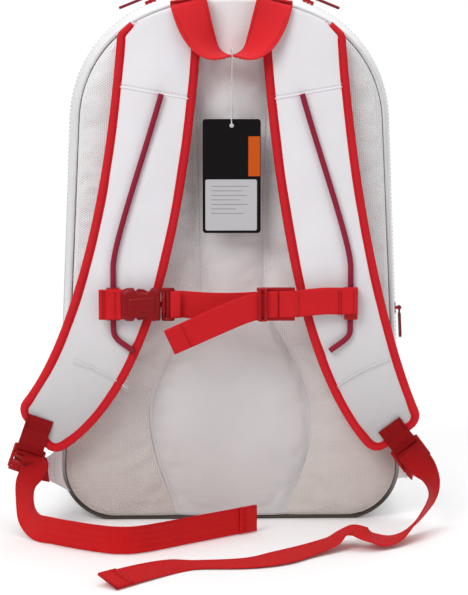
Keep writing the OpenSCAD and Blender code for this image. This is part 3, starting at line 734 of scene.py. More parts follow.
def zip_line(name, node, path, out, across):
    """Two woven tapes and the coil between them. out faces off the cloth, across runs over the tapes."""
    out, across = np.broadcast_to(out, path.shape), np.broadcast_to(across, path.shape)
    for side, sign, nodes in (("a", -1, [node]), ("b", 1, [])):
        obj = sweep(f"{name}_tape_{side}", path, across, out, [(sign * x, h) for x, h in TAPE_SECTION], TAPE)
        fit(obj, "zip_tape", "bag", *nodes)
    run = resample(np.hstack([path, out, across]), 1.7)
    centers, out, across = run[:, :3], unit(run[:, 3:6]), unit(run[:, 6:])
    step = tangents(centers)
    obj = capsules(f"{name}_coil", centers + out, across + 0.12 * step, step, 2.5, 0.72, COIL, flat=1.0)
    fit(obj, "zip_tape", "bag")


def build_main_zip():
    """The zip over the arch, with a row of stitches on each side."""
    up = upper(outline(0.0, 4.0))
    normal = np.stack([up[:, 2], np.zeros(len(up)), up[:, 3]], axis=1)
    zip_line("main_zip", "main_zip_tape", on_wall(up, ZIP_Y, -ZIP_SINK), normal, (0, 1, 0))
    for sign, name in ((-1, "rear"), (1, "front")):
        run = on_wall(up, ZIP_Y + sign * 8.5, 0.5)
        stitches(f"main_zip_{name}_stitch", [(run, (0, 1, 0))], radius=0.3)


def build_side_zips():
    """The zips of the side pockets, each in a rolled frame of shell cloth."""
    frame_loop = squircle(8, 80)
    for side, sign in SIGN.items():
        low, high = node_box("side_zip_tape_" + side)
        widths = sorted((abs(low[0]), abs(high[0])))
        z = np.linspace(low[2] + 1, high[2] - 1, 60)
        x = np.linspace(widths[1], widths[0], 60) - 1.9
        y = (low[1] + high[1]) / 2
        path = np.stack([sign * x, np.full(60, y), z], axis=1)
        zip_line("side_zip_" + side, "side_zip_tape_" + side, path, (sign, 0, 0), (0, 1, 0))
        frame_z = (z[0] + z[-1]) / 2 + frame_loop[:, 1] * ((z[-1] - z[0]) / 2 + 4)
        frame_x = sign * (np.interp(frame_z, z, x) - 0.1)
        rim = np.stack([frame_x, y + 10.5 * frame_loop[:, 0], frame_z], axis=1)
        obj = tube(f"side_zip_{side}_frame", rim, 0.9, SHELL, across=(1, 0, 0), closed=True)
        fit(obj, "shell_fabric", "bag")


# ---- Bag: front ----

PANEL_C = np.array([0.0, 236.0])
POCKET_HALF = 112.0
POCKET_Z = (90.0, 290.0)
POCKET_DEPTH = 24.0
POCKET_ZIP_Z = 262.0
POCKET_ZIP_HALF = 88.0


def panel_y(x, z):
    """Depth of the front panel, which bulges a little in its middle."""
    share = np.clip(np.abs(x) / np.maximum(half_width(z, 1.0), 1.0), 0, 1)
    return front_y(z) + 0.6 + 6.0 * (1 - share**2)


def pocket_y(x, z):
    """Depth of the front pocket's face."""
    u = np.abs(x) / POCKET_HALF
    v = np.abs(2 * (z - POCKET_Z[0]) / (POCKET_Z[1] - POCKET_Z[0]) - 1)
    return front_y(z) + 9.9 + POCKET_DEPTH * (1 - u**12) * (1 - v**8)


def build_front_panel():
    ring = outline(0.6, 5.0)
    shares = np.linspace(0.03, 1, 46)[:, None]
    xz = PANEL_C + shares[..., None] * (ring[None, :, :2] - PANEL_C)
    x, z = xz[..., 0], xz[..., 1]
    P = np.stack([x, panel_y(x, z), z], axis=-1)
    P[..., 1] += (ripple(P * (1.0, 1.0, 0.6), 70.0, 3.0, 14.0) + ripple(P, 26.0, 0.8, 2.0)) * (1 - shares**5)
    obj = panel("front_sheet", P, SHELL, closed=True)
    under_pocket = (np.abs(x) < POCKET_HALF + 4) & (z > POCKET_Z[0] - 4) & (z < POCKET_Z[1] + 4)
    inflate(obj, (shares > 0.985) | under_pocket, 6.0)
    fit(thicken(obj, 2.0, -1.0), "shell_fabric", "bag", "front_panel")


def build_pocket():
    """The front pocket's cloth: calm round its zip, with a skirt that ends under the front panel."""
    u = eased(61)
    X, Z = np.meshgrid(u * POCKET_HALF, lerp(*POCKET_Z, (1 + eased(57)) / 2))
    Y = pocket_y(X, Z)
    calm = smooth(np.abs(Z - POCKET_ZIP_Z) / 22.0)
    fade = (1 - np.abs(u)[None] ** 6) * calm
    Y = Y + ripple(np.stack([X, Y, Z], axis=-1), 46.0, 3.0, 21.0) * fade - 1.2 * (1 - calm)
    sheet = np.stack([X, Y, Z], axis=-1)
    sheet = np.hstack([sheet[:, :1] * (1.01, 1, 1), sheet, sheet[:, -1:] * (1.01, 1, 1)])
    sheet = np.concatenate([sheet[:1] - (0, 0, 1.2), sheet, sheet[-1:] + (0, 0, 1.2)])
    for edge in (sheet[0], sheet[-1], sheet[:, 0], sheet[:, -1]):
        edge[:, 1] = panel_y(edge[:, 0], edge[:, 2]) - 3.0
    obj = panel("pocket_sheet", sheet, SHELL)
    pinned = np.ones(sheet.shape[:2], bool)
    pinned[3:-3, 3:-3] = np.abs(sheet[3:-3, 3:-3, 2] - POCKET_ZIP_Z) < 12
    inflate(obj, pinned, 5.0)
    fit(thicken(obj, 1.6, 0.0), "shell_fabric", "bag", "front_pocket")


def pocket_rim(grow, lift):
    """A closed line round the pocket, on the front panel."""
    loop = squircle(14, 160)
    x = loop[:, 0] * (POCKET_HALF + grow)
    z = sum(POCKET_Z) / 2 + loop[:, 1] * ((POCKET_Z[1] - POCKET_Z[0]) / 2 + grow)
    return np.stack([x, panel_y(x, z) + lift, z], axis=1)


def build_pocket_trim():
    """Piping and stitches round the pocket, and its zip."""
    fit(tube("pocket_piping", pocket_rim(1.0, 1.2), 1.9, SHELL, closed=True), "shell_fabric", "bag")
    run = pocket_rim(6.0, 1.4)
    stitches("pocket_stitch", [(np.vstack([run, run[:1]]), (0, 1, 0))])
    x = np.linspace(-POCKET_ZIP_HALF, POCKET_ZIP_HALF, 90)
    path = np.stack([x, pocket_y(x, POCKET_ZIP_Z) + 2.0, np.full(90, POCKET_ZIP_Z)], axis=1)
    lean = (pocket_y(0.0, POCKET_ZIP_Z - 4) - pocket_y(0.0, POCKET_ZIP_Z + 4)) / 8
    zip_line("pocket_zip", "front_zip_tape", path, unit((0.0, 1.0, lean)), unit((0.0, -lean, 1.0)))
    runs = [(path + (0, 0.2 - lean * dz, dz), (0, 1, 0)) for dz in (-8.5, 8.5)]
    stitches("pocket_zip_stitch", runs, radius=0.3)


# ---- Back panel ----

TONGUE_LOW = ((51, 2), (60, 32), (78, 62), (78, 104))
TONGUE_HIGH = ((78, 104), (78, 144), (35, 188), (32, 226))
PAD_T = 9.5
CENTER_T = 6.0
DIMPLES = ((-22.0, 424.0), (20.0, 436.0))
BACK_ROWS = np.concatenate([np.linspace(4, 60, 22), np.linspace(63, 440, 110), np.linspace(443, 495.5, 24)])


def center_half(z):
    """Half the width of the centre pad at a height: a lumbar tongue below, a narrow spine above."""
    t = np.linspace(0, 1, 30)
    curve = np.vstack([bezier(TONGUE_LOW, t), bezier(TONGUE_HIGH, t)[1:], [(38, BAG_H)]])
    return np.interp(z, curve[:, 1], curve[:, 0])


def build_back_pads():
    inner = center_half(BACK_ROWS)[:, None]
    outer = np.maximum(half_width(BACK_ROWS, 3.5)[:, None], inner + 1.0)
    share = (1 - np.cos(np.linspace(0, math.pi, 44))) / 2
    X = lerp(inner + 0.4, outer, share[None])
    Z = np.broadcast_to(BACK_ROWS[:, None], X.shape)
    flat = np.stack([X.ravel(), Z.ravel()], axis=1)
    edge = distance_to(flat, outline(3.0, 4.0)[:, :2], closed=True).reshape(X.shape)
    h = 1.2 + (PAD_T - 1.4) * bulge(edge / 20) * (0.42 + 0.58 * smooth((X - inner) / 15))
    for side, sign in SIGN.items():
        P = np.stack([sign * X, BACK_Y - h, Z], axis=-1)
        P[..., 1] += (ripple(P, 55.0, 1.3, 3.0 + sign) + ripple(P, 20.0, 0.35, 7.0)) * bulge(edge / 24)
        obj = panel("back_mesh_" + side, P, PAD_MESH)
        inflate(obj, (edge < 5) | (X - inner < 3), 5.0)
        fit(thicken(obj, 1.0, -1.0), "back_mesh", "bag", "back_pad_" + side)


def build_center_pad():
    """The smooth centre pad, with two shallow dimples and a stitched seam down each side."""
    inner = center_half(BACK_ROWS)[:, None]
    X = (inner + 1.2) * eased(41)[None]
    Z = np.broadcast_to(BACK_ROWS[:, None], X.shape)
    from_edge = np.maximum(inner - np.abs(X), 0)
    dimple = sum(np.exp(-(((X - cx) / 9) ** 2 + ((Z - cz) / 17) ** 2)) for cx, cz in DIMPLES)
    h = 0.8 + (CENTER_T - 0.8) * (0.50 + 0.50 * smooth(from_edge / 12)) * bulge((Z - 2) / 10)
    h += 1.5 * smooth((from_edge - 16) / 30) - 3.6 * dimple
    P = np.stack([X, BACK_Y - h, Z], axis=-1)
    P[..., 1] += ripple(P * (1.0, 1.0, 0.45), 30.0, 1.1, 31.0) * bulge(from_edge / 14)
    obj = panel("back_center", P, CENTER)
    inflate(obj, (from_edge < 4) | (dimple > 0.6) | (Z < 14), 3.0)
    fit(thicken(obj, 1.0, -1.0), "center_fabric", "bag", "back_center_pad")
    z = np.linspace(8, 430, 160)
    x, y = center_half(z) - 3.2, np.full(len(z), BACK_Y - 4.6)
    runs = [(np.stack([sign * x, y, z], axis=1), (0, -1, 0)) for sign in (-1, 1)]
    stitches("center_seam_stitch", runs, "center_fabric", radius=0.3)


# ---- Shoulder straps ----

STRAP_X = 66.0
STRAP_CURVES = {
    "left": ((STRAP_X, 478), (74, 345), (102, 152), (184, 92)),
    "right": ((STRAP_X, 478), (74, 345), (98, 165), (157, 86)),
}
STRAP_HALF, STRAP_END_HALF = 36.0, 26.0
STRAP_TOP_Y = -110.0
STRAP_ROWS, ROOT_ROWS = 112, 6
ROOT_TUCK = 10.0
ROOT_T = 0.045
FOLD = (69.2, -127.5, 434.1)
END_SPEED = 300.0
END_R = 10.0


def strap_y(t):
    """Depth of the strap's inner face, which bows out from the back."""
    return STRAP_TOP_Y - 20 * np.sin(np.radians(150 * t))


def strap_width(t):
    """Half width of the strap, which narrows over its lower half."""
    return lerp(STRAP_HALF, STRAP_END_HALF, np.clip(2 * t - 1, 0, 1) ** 2.4)


def rounded_width(t):
    """Half width with the end's corners rounded off."""
    past = np.clip(END_R - (1 - t) * END_SPEED, 0, END_R)
    return strap_width(t) - END_R + np.sqrt(END_R**2 - past**2 + 1e-6)


def strap_at(side, t, across, height, along=0.0):
    """A point on the strap: across and along in millimetres, height above its inner face."""
    curve, e = STRAP_CURVES[side], 0.005
    given = (np.asarray(v, float) for v in (t, across, height, along))
    t, across, height, along = np.broadcast_arrays(*given)
    c = bezier(curve, t)
    d = unit(bezier(curve, np.minimum(t + e, 1)) - bezier(curve, np.maximum(t - e, 0)))
    x = c[..., 0] - d[..., 1] * across + d[..., 0] * along
    z = c[..., 1] + d[..., 0] * across + d[..., 1] * along
    return np.stack([SIGN[side] * x, strap_y(t) - height, z], axis=-1)


def arch_seam(side, x, height=0.0):
    """Points on the seam of the arch where the straps are sewn in."""
    z = TOP_C[1] + np.sqrt(TOP_R**2 - x**2) - 4
    return np.stack([SIGN[side] * x, np.full(len(x), STRAP_TOP_Y - height), z], axis=1)


def strap_rows(side, shares, heights, t):
    """Grid over the strap. Row 0 lies on the seam of the arch."""
    body = strap_at(side, t[:, None], rounded_width(t)[:, None] * shares[None], heights[ROOT_ROWS:])
    arch = arch_seam(side, STRAP_X + STRAP_HALF * shares - ROOT_TUCK * (shares + 1) / 2)
    first = body[0] + np.stack([0 * shares, heights[ROOT_ROWS], 0 * shares], axis=1)
    f = np.linspace(0, 1, ROOT_ROWS, endpoint=False)[:, None, None]
    root = lerp(arch[None], first[None], f)
    root[:, :, 1] -= heights[:ROOT_ROWS]
    return np.concatenate([root, body])


def strap_bend(side):
    """The two bodies a strap bends between, and where: 24 mm above and below its fold line."""
    high, low = ((SIGN[side] * FOLD[0], FOLD[1], FOLD[2] + dz) for dz in (24, -24))
    return ("bag", "strap_" + side, high, low)


def fit_strap(obj, slot, side, *nodes):
    """Fits a piece of a strap."""
    fit(obj, slot, None, *nodes, bend=strap_bend(side))


def sew_strap(name, runs, slot, side, *sizes):
    """Stitches on a strap."""
    stitches(name, runs, slot, None, *sizes, bend=strap_bend(side))


def rail_path(side):
    """Line of the piping rail, a little above the strap's face: a slope, a straight rise and a hook."""
    top, x = np.array([65.0, 408.0]), 110.0
    high, low = 248.0, 190.0
    slope = bezier((top, (82, 348), (x, 270), (x, high)), np.linspace(0, 1, 24))
    up = np.array([(x, z) for z in np.linspace(high, low, 12)[1:]])
    hook = bezier(((x, low), (x, 181), (101, 178), (91, 170)), np.linspace(0, 1, 12))[1:]
    p = np.vstack([slope, up, hook])
    rise = np.clip((p[:, 1] - high) / (top[1] - high), 0, 1) ** 1.5
    return np.stack([SIGN[side] * p[:, 0], -144 + 11 * rise, p[:, 1]], axis=1)


def build_strap_body(side):
    """Cover, foam and lining as one padded shape. Gives back its front face."""
    front = eased(33)
    back = np.linspace(0.96, -0.96, 13)
    shares = np.concatenate([front, back])
    t = 1 - (1 - ROOT_T) * np.linspace(1, 0, STRAP_ROWS) ** 1.25
    calm = np.concatenate([np.ones(ROOT_ROWS), 1 - smooth((t - 0.9) / 0.07)])
    crown = 8.6 + (0.7 + 1.9 * calm[:, None]) * (1 - np.abs(front[None]) ** 2.6)
    heights = np.hstack([crown, np.full((len(calm), len(back)), 0.3)])
    P = strap_rows(side, shares, heights, t)
    face = P[:, : len(front)]
    from_rail = distance_to(face[..., [0, 2]].reshape(-1, 2), rail_path(side)[:, [0, 2]])
    face[..., 1] += 1.5 * np.exp(-((from_rail.reshape(face.shape[:2]) / 5.5) ** 2))
    soft = ripple(face * (1.0, 1.0, 0.8), 38.0, 1.5, 40 + SIGN[side]) + ripple(face, 15.0, 0.35, 45.0)
    face[..., 1] += soft * (1 - np.abs(front[None]) ** 4)
    columns = np.arange(len(front) - 1, len(shares))
    obj = grid("strap_body_" + side, P, STRAP, closed=True, caps=True, second=LINING, second_columns=columns)
    fit_strap(obj, "strap_fabric", side, *(f"strap_{k}_{side}" for k in ("cover", "foam", "lining", "root")))
    return face


def strap_edge(side, trim=0.0, lift=0.0):
    """The strap's edge down its outer side, round the end and up again, with its outward direction."""
    r = END_R - min(trim, 4.0)
    t = np.linspace(ROOT_T, 1 - END_R / END_SPEED, 100)
    angles = np.linspace(0.1, math.pi / 2, 7)
    path = []
    for sign in (1, -1):
        x = STRAP_X + sign * (STRAP_HALF - trim) - ROOT_TUCK * (sign > 0)
        arch = arch_seam(side, np.array([x]), lift)
        run = strap_at(side, t, sign * (strap_width(t) - trim), lift)
        end_t = 1 + (r * np.sin(angles) - END_R) / END_SPEED
        corner = strap_at(side, end_t, sign * (strap_width(end_t) - trim - r * (1 - np.cos(angles))), lift)
        path.append(np.vstack([arch, run, corner]))
    path = resample(np.vstack([path[0], path[1][::-1]]), 3.5)
    T = tangents(path)
    out = unit(np.stack([-T[:, 2], np.zeros(len(T)), T[:, 0]], axis=1)) * SIGN[side]
    return path, out


# The binding seen end on: distance past the strap's edge and height, over its outside and back inside
BINDING_OUTSIDE = ((-5.2, 9.9), (-2.4, 10.8), (0.4, 10.9), (2.2, 9.4), (2.9, 6.5), (2.9, 3.0), (2.2, 0.8),
                   (0.4, -0.5), (-2.4, -0.6), (-5.2, -0.3))
BINDING_INSIDE = ((-5.9, 0.5), (-2.4, 0.2), (0.4, 0.3), (1.9, 1.6), (1.9, 3.8), (1.9, 5.7), (1.9, 8.6),
                  (0.4, 10.1), (-2.4, 10.0), (-5.9, 9.1))


def build_binding(side):
    path, out = strap_edge(side)
    lift = np.broadcast_to((0.0, -1.0, 0.0), out.shape)
    obj = sweep("strap_edge_" + side, path, out, lift, BINDING_OUTSIDE + BINDING_INSIDE, BINDING)
    fit_strap(obj, "web_red", side, "strap_binding_" + side)
    line = strap_edge(side, trim=3.9, lift=10.65)[0]
    sew_strap("strap_edge_stitch_" + side, [(line, (0, -1, 0))], "web_red", side, 2.2, 1.2, 0.3)


def build_rail(side):
    path = resample(rail_path(side) + (0, 1.0, 0), 2.5)
    fit_strap(tube("rail_" + side, path, 2.6, RAIL, flat=2.3), "piping_dark", side, "strap_rail_" + side)


# Raised cloth edges across the strap: where the top cover ends, and near the lower end
STRAP_SEAMS = (
    ("top", ((35.5, 403.0), (52, 405.5), (69, 408.5), (86, 411.5), (104.5, 415.0)), (3.0,)),
    ("low", ((97, 134.0), (112, 144.5), (130, 154.0), (147, 160.5)), (-2.6, 2.6)),
)


def build_strap_seams(side, face):
    """The seams across a strap lie on the nearest points of its front face."""
    flat = face.reshape(-1, 3)
    for name, points, rows in STRAP_SEAMS:
        line = resample(np.array(points) * (SIGN[side], 1), 2.5)
        y = [flat[np.argmin((flat[:, 0] - x) ** 2 + (flat[:, 2] - z) ** 2), 1] - 0.15 for x, z in line]
        path = np.stack([line[:, 0], y, line[:, 1]], axis=1)
        obj = tube(f"strap_seam_{name}_{side}", path, 0.75, STRAP, flat=0.6)
        fit_strap(obj, "strap_fabric", side)
        runs = [(path + (0, -0.15, dz), (0, -1, 0)) for dz in rows]
        sew_strap(f"strap_seam_{name}_stitch_{side}", runs, "strap_fabric", side, 2.2, 1.2, 0.28)


# ---- Lower adjusters ----

BAR_V = {"left": 18.0, "right": 11.0}
END_TURN = {"left": math.radians(34), "right": 0.0}
BAR_H = 6.4
LOCK_HALF, LOCK_L = 15.5, 22.0
LOCK_MIDDLE = 9.5
WEB_W, WEB_T = 25.0, 1.4


def end_map(side, points):
    """Points given across the strap, past its end and above its inner face, turned with the lock."""
    points = np.asarray(points, float)
    c, s = math.cos(END_TURN[side]), math.sin(END_TURN[side])
    across, past = points[:, 0] * c - points[:, 1] * s, points[:, 0] * s + points[:, 1] * c
    return strap_at(side, np.ones(len(points)), across, points[:, 2], past)


def end_across(side):
    """Direction across the lock."""
    middle, beside = end_map(side, [(0, 0, 0), (1, 0, 0)])
    return beside - middle


def rounded_bar(name, start, end, wide, tall, up, material, power=3.5):
    """A moulded bar with a rounded-rectangle section and softly closed ends."""
    start, end = np.asarray(start, float), np.asarray(end, float)
    length = np.linalg.norm(end - start)
    T = unit(end - start)
    A = unit(np.cross(T, up))
    B = np.cross(A, T)
    section = squircle(power, 16) * (wide / 2, tall / 2)
    ends = ((0.0, 0.45), (0.25, 0.8), (0.8, 1.0))
    stations = ends + tuple((length - s, k) for s, k in ends[::-1])
    P = np.stack([start + T * s + k * (section[:, :1] * A + section[:, 1:] * B) for s, k in stations])
    return grid(name, P, material, closed=True, caps=True)


def join(name, objects):
    """One piece out of several meshes that share a material."""
    for o in bpy.context.selected_objects:
        o.select_set(False)
    for o in objects:
        o.select_set(True)
    bpy.context.view_layer.objects.active = objects[0]
    bpy.ops.object.join()
    objects[0].name = name
    objects[0].data.name = name
    objects[0].select_set(False)
    return objects[0]


def ladder_lock(name, place, half, length, bars, lip=True):
    """Two side rails and their cross bars. place maps (across, along, height) to the bag's axes."""
    up = unit(place((0, 0, 1)) - place((0, 0, 0)))

    def bar(start, end, wide, tall, power=3.5):
        return rounded_bar(name, place(start), place(end), wide, tall, up, LADDER, power)

    rail = half - 1.7
    parts = [bar((s * rail, -1.5, 0), (s * rail, length, 0), 3.4, 4.2) for s in (-1, 1)]
    parts += [bar((1 - half, v, 0), (half - 1, v, 0), thick, 3.4, 2.6) for v, thick in bars]
    if lip:
        parts.append(bar((1.5 - half, length - 0.5, 1.6), (half - 1.5, length - 0.5, 1.6), 5.5, 2.2, 2.6))
        parts += [bar((u, length - 3, 2.6), (u, length + 1.8, 2.6), 1.6, 1.4)
                  for u in np.linspace(6 - half, half - 6, 5)]
    return join(name, parts)


def build_lock(side):
    """The ladder lock, and the webbing loop that holds its bar to the strap's end."""
    bar = BAR_V[side]
    bars = ((0, 4.0), (LOCK_MIDDLE, 3.6), (LOCK_L - 4.5, 7.0))
    obj = ladder_lock("lock_" + side, lambda p: end_map(side, [np.add(p, (0, bar, BAR_H))])[0],
                      LOCK_HALF, LOCK_L, bars)
    fit(obj, "ladder_plastic", "ladder_" + side, "ladder_lock_" + side)
    run = [(-15, 13.8), (-8, 13.3), (2, 12.6), (bar - 5, 12.0)]
    turn = np.radians(np.linspace(100, -90, 14))
    run += [(bar + 3.5 * math.cos(a), BAR_H + 3.5 * math.sin(a)) for a in turn]
    run += [(bar - 3.6, BAR_H - 3.4)]
    path = end_map(side, resample([(0.0, v, h) for v, h in run], 1.6))
    across = np.broadcast_to(end_across(side), path.shape)
    obj = webbing("end_loop_" + side, path, across, WEB_W, 1.7, WEB_SHADED)
    fit(obj, "web_red", "strap_" + side, "strap_end_loop_" + side)
    # a box with a cross in it, sewn in one go
    box = [(-10, -13), (10, -13), (10, -3), (-10, -3), (-10, -13), (10, -3), (10, -13), (-10, -3)]
    runs = [(end_map(side, [(*a, 14.3), (*b, 14.3)]), (0, -1, 0)) for a, b in zip(box, box[1:])]
    stitches("end_loop_stitch_" + side, runs, "web_red", "strap_" + side, 2.0, 1.0, 0.32)


WING_Z = (16.0, 84.0)
WING_TIP = (180.0, 50.0)
WING_FOLD = {"left": 4.0, "right": 22.0}  # how far the lower edge is folded up out of sight


def build_wing(side):
    """The tab of shell cloth in the side seam that holds the lower webbing."""
    s = SIGN[side]
    z_root = np.linspace(WING_Z[0] + WING_FOLD[side], WING_Z[1] - 4, 25)
    z_tip = WING_TIP[1] + 9 * np.linspace(-1, 1, 25)
    x_root = half_width(z_root) - 3.0
    wave = 0.7 * np.sin(np.linspace(0, 9, 25))
    rows = []
    for f in np.linspace(0, 1, 14):
        x, z = lerp(x_root, WING_TIP[0], f), lerp(z_root, z_tip, f**0.7)
        y = BACK_Y + 3.0 - 6.0 * smooth(f * 4) + wave * math.sin(math.pi * f)
        rows.append(np.stack([s * x, y, z], axis=1))
    obj = thicken(grid("wing_" + side, np.array(rows), SHELL), 2.2, 0.0)
    fit(obj, "shell_fabric", "bag", "corner_wing_" + side)
    tip = np.array([(s * (WING_TIP[0] - 7), BACK_Y - 4.8, WING_TIP[1] + dz) for dz in (-10, 10)])
    stitches("wing_stitch_" + side, [(tip - (dx * s, 0, 0), (0, -1, 0)) for dx in (0, 4)])


def build_lower_webbing(side):
    """From the wing's tip up to the ladder lock and round its bar."""
    s, bar = SIGN[side], BAR_V[side]
    low = np.array([s * (WING_TIP[0] - 4), BACK_Y - 6.5, WING_TIP[1]])
    high = end_map(side, [(0, bar + 14, 1.6)])[0]
    t = np.linspace(0, 1, 24)
    path = bezier((low, low + (0, -8, 2), high + (0, 6, -4), high), t)
    across = end_across(side)
    dirs = lerp(np.array([0.2 * s, 0, 1.0]), across, t[:, None])
    wrap = [(0, bar + v, h) for v, h in ((8, 1.4), (4.6, 3.2), (3.9, 6.4), (4.6, 9.8), (6, 11.5))]
    wrap = np.hstack([end_map(side, wrap), np.broadcast_to(across, (len(wrap), 3))])
    both = resample(np.vstack([np.hstack([path, dirs]), wrap]), 2.2)
    obj = webbing("lower_run_" + side, both[:, :3], both[:, 3:], WEB_W - 1, WEB_T, WEB_SHADED)
    fit(obj, "web_red", None, "lower_webbing_" + side, bend=("bag", "strap_" + side, low, high))


# Free tails, as stations of centre and width direction on the wearer's right side; the left one is mirrored
ON_EDGE = (0, 0, -1)
TAILS = {
    "left": [
        ((184, -140, 63), (0.93, 0.1, 0.35)), ((192, -147, 47), (0.75, 0.6, 0.2)),
        ((193, -153, 33), (0.7, 0.7, -0.1)),
        ((190, -162, 20), (0.6, 0.3, -0.75)),
        ((180, -178, 13.4), (0.3, 0.1, -0.95)), ((165, -191, 13.4), ON_EDGE), ((147, -204, 13.4), ON_EDGE),
        ((122, -219, 13.4), ON_EDGE), ((102, -226, 13.4), ON_EDGE), ((80, -221, 13.4), ON_EDGE),
        ((30, -186, 13.4), ON_EDGE), ((-22, -149, 13.4), ON_EDGE)],
    "right": [
        ((176, -141, 64), (0.65, 0.2, 0.72)), ((186, -148, 49), (0.6, 0.75, 0.25)),
        ((185, -158, 33), (0.4, 0.9, -0.1)),
        ((171, -172, 17), (0.2, 0.93, -0.3)), ((151, -190, 7), (0, 0.98, -0.1)),
        ((132, -206, 7.5), (-0.2, 0.95, 0.2)),
        ((120, -210, 13), (-0.35, 0.86, 0.38)), ((109, -205, 16), (-0.3, 0.95, 0.1)),
        ((98, -205, 13), (-0.2, 0.97, -0.1)),
        ((86, -213, 7), (-0.4, 0.91, 0)), ((62, -231, 4), (-0.5, 0.86, 0.1)),
        ((39, -252, 4.2), (-0.4, 0.9, 0.15)),
        ((10, -262, 2.5), (-0.05, 0.99, 0.05)), ((-33, -263, 1.6), (-0.05, 1, 0)),
        ((-53, -272, 3.2), (-0.3, 0.94, 0.15)),
        ((-80, -297, 5), (-0.5, 0.83, 0.25)), ((-108, -326, 5.5), (-0.45, 0.83, 0.3))],
}


def rest_on_floor(obj, clear=0.2):
    """Lifts whatever part of a piece would sink into the floor."""
    for vertex in obj.data.vertices:
        vertex.co.z = max(vertex.co.z, clear * MM)


def build_tail(side):
    """Free end of the lower webbing: out of the lock, down and over the floor, to a folded hem."""
    flip = np.array([SIGN[side], 1, 1])
    start = end_map(side, [(0, BAR_V[side] + 5, 11.5)])[0] * flip
    path, dirs = spline([(start, end_across(side) * flip)] + TAILS[side], 12)
    both = resample(np.hstack([path, dirs]), 2.2)
    path, dirs = both[:, :3] * flip, both[:, 3:] * flip
    obj = webbing("tail_" + side, path, dirs, WEB_W, WEB_T, WEB_SHADED)
    rest_on_floor(obj)
    clear, low = (np.array(TAILS[side][k][0]) * flip for k in (1, 4))
    fit(obj, "web_red", None, "lower_tail_" + side, bend=("strap_" + side, "bag", clear, low))
    T = tangents(path)
    A = unit(dirs - (dirs * T).sum(axis=1, keepdims=True) * T)
    B = np.cross(T, A)
    # the hem is turned up on the side that shows: the left tail stands on edge, the right one lies flat
    facing = -1.0 if side == "left" else math.copysign(1.0, B[-1][2])
    hem = slice(-10, None)
    folded = path[hem] + 1.35 * facing * B[hem]
    obj = webbing("tail_hem_" + side, folded, dirs[hem], WEB_W - 0.4, WEB_T, WEB_SHADED)
    rest_on_floor(obj)
    fit(obj, "web_red", "bag")
    out = unit(facing * B[-10])
    runs = [(np.array([path[k] + out * 2.3 + A[k] * w for w in (-10.5, 10.5)]), out) for k in (-8, -7)]
    stitches("tail_hem_stitch_" + side, runs, "web_red", "bag", 1.8, 0.9, 0.3)


# ---- Chest strap ----

SOCKET_LOW, SOCKET_HIGH = node_box("buckle_socket")
CHEST_Y = -150.0
CHEST_Z = (SOCKET_LOW[2] + SOCKET_HIGH[2]) / 2
CHEST_HALF = (SOCKET_HIGH[2] - SOCKET_LOW[2]) / 2
PLUG_X = SOCKET_HIGH[0] + 0.6
LADDER_X = node_box("chest_ladder_lock")[0][0]
LADDER_BAR_X = LADDER_X + 16


def rounded_outline(points, radius, steps=5):
    """Rounds the corners of a polygon of (x, z)."""
    points = np.asarray(points, float)
    out = []
    for k, p in enumerate(points):
        a, b = points[k - 1] - p, points[(k + 1) % len(points)] - p
        r = min(radius, np.linalg.norm(a) / 2.1, np.linalg.norm(b) / 2.1)
        a, b = p + unit(a) * r, p + unit(b) * r
        for t in np.linspace(0, 1, steps):
            out.append((1 - t) ** 2 * a + 2 * t * (1 - t) * p + t * t * b)
    return np.array(out)


def mirrored(points):
    """A closed shape on the chest strap from its lower half, as (x, distance below the middle)."""
    return [(x, CHEST_Z - h) for x, h in points] + [(x, CHEST_Z + h) for x, h in points[::-1]]


def plate(name, shape, levels, material):
    """A closed body from copies of one outline in the XZ plane, each with its size and its depth."""
    center = (shape.max(0) + shape.min(0)) / 2
    rows = [np.insert(center + share * (shape - center), 1, y, axis=1) for share, y in levels]
    return grid(name, np.array(rows), material, closed=True, caps=True)


def domed_plate(name, points, radius, thick, edge=1.2, y=CHEST_Y):
    """A moulded part of the buckle with a rounded rim and slightly domed faces."""
    shape = rounded_outline(points, radius)
    rim = 1 - edge / ((shape.max(0) - shape.min(0)) / 2).min()
    half = [(0.02, 1.0), (0.35, 0.98), (0.7, 0.92), (rim, 0.84), (1.0, 0.45)]
    levels = [(f, y + h * thick / 2) for f, h in half] + [(f, y - h * thick / 2) for f, h in half[::-1]]
    return plate(name, shape, levels, BUCKLE)


def upright(name, x, half, wide, thick, material, y=CHEST_Y):
    """A moulded bar from one edge of the chest strap towards the other."""
    return rounded_bar(name, (x, y, CHEST_Z - half), (x, y, CHEST_Z + half), wide, thick, (0, 1, 0), material)


def build_socket():
    x0, x1, half = SOCKET_LOW[0], SOCKET_HIGH[0], CHEST_HALF
    thick = SOCKET_HIGH[1] - SOCKET_LOW[1]
    notch0, notch1, notch = x0 + 12, x0 + 27, 3.4
    body = [(x0, half - 4), (x0 + 5, half - 0.4), (notch0, half), (notch0 + 1.5, half - notch),
            (notch1, half - notch), (notch1 + 1.5, half), (x1, half - 0.8)]
    ridge = mirrored([(x0 + 7, 5.5), (x1 - 5, 7.5)])
    parts = [domed_plate("socket_body", mirrored(body), 2.2, thick),
             domed_plate("socket_ridge", ridge, 3.0, 1.6, y=CHEST_Y - thick / 2 + 0.2)]
    parts += [upright("socket_eye", x0 + dx, half - 2, 3.0, 4.0, BUCKLE) for dx in (-1.0, 3.0)]
    fit(join("socket", parts), "buckle_plastic", "chest_left", "buckle_socket")


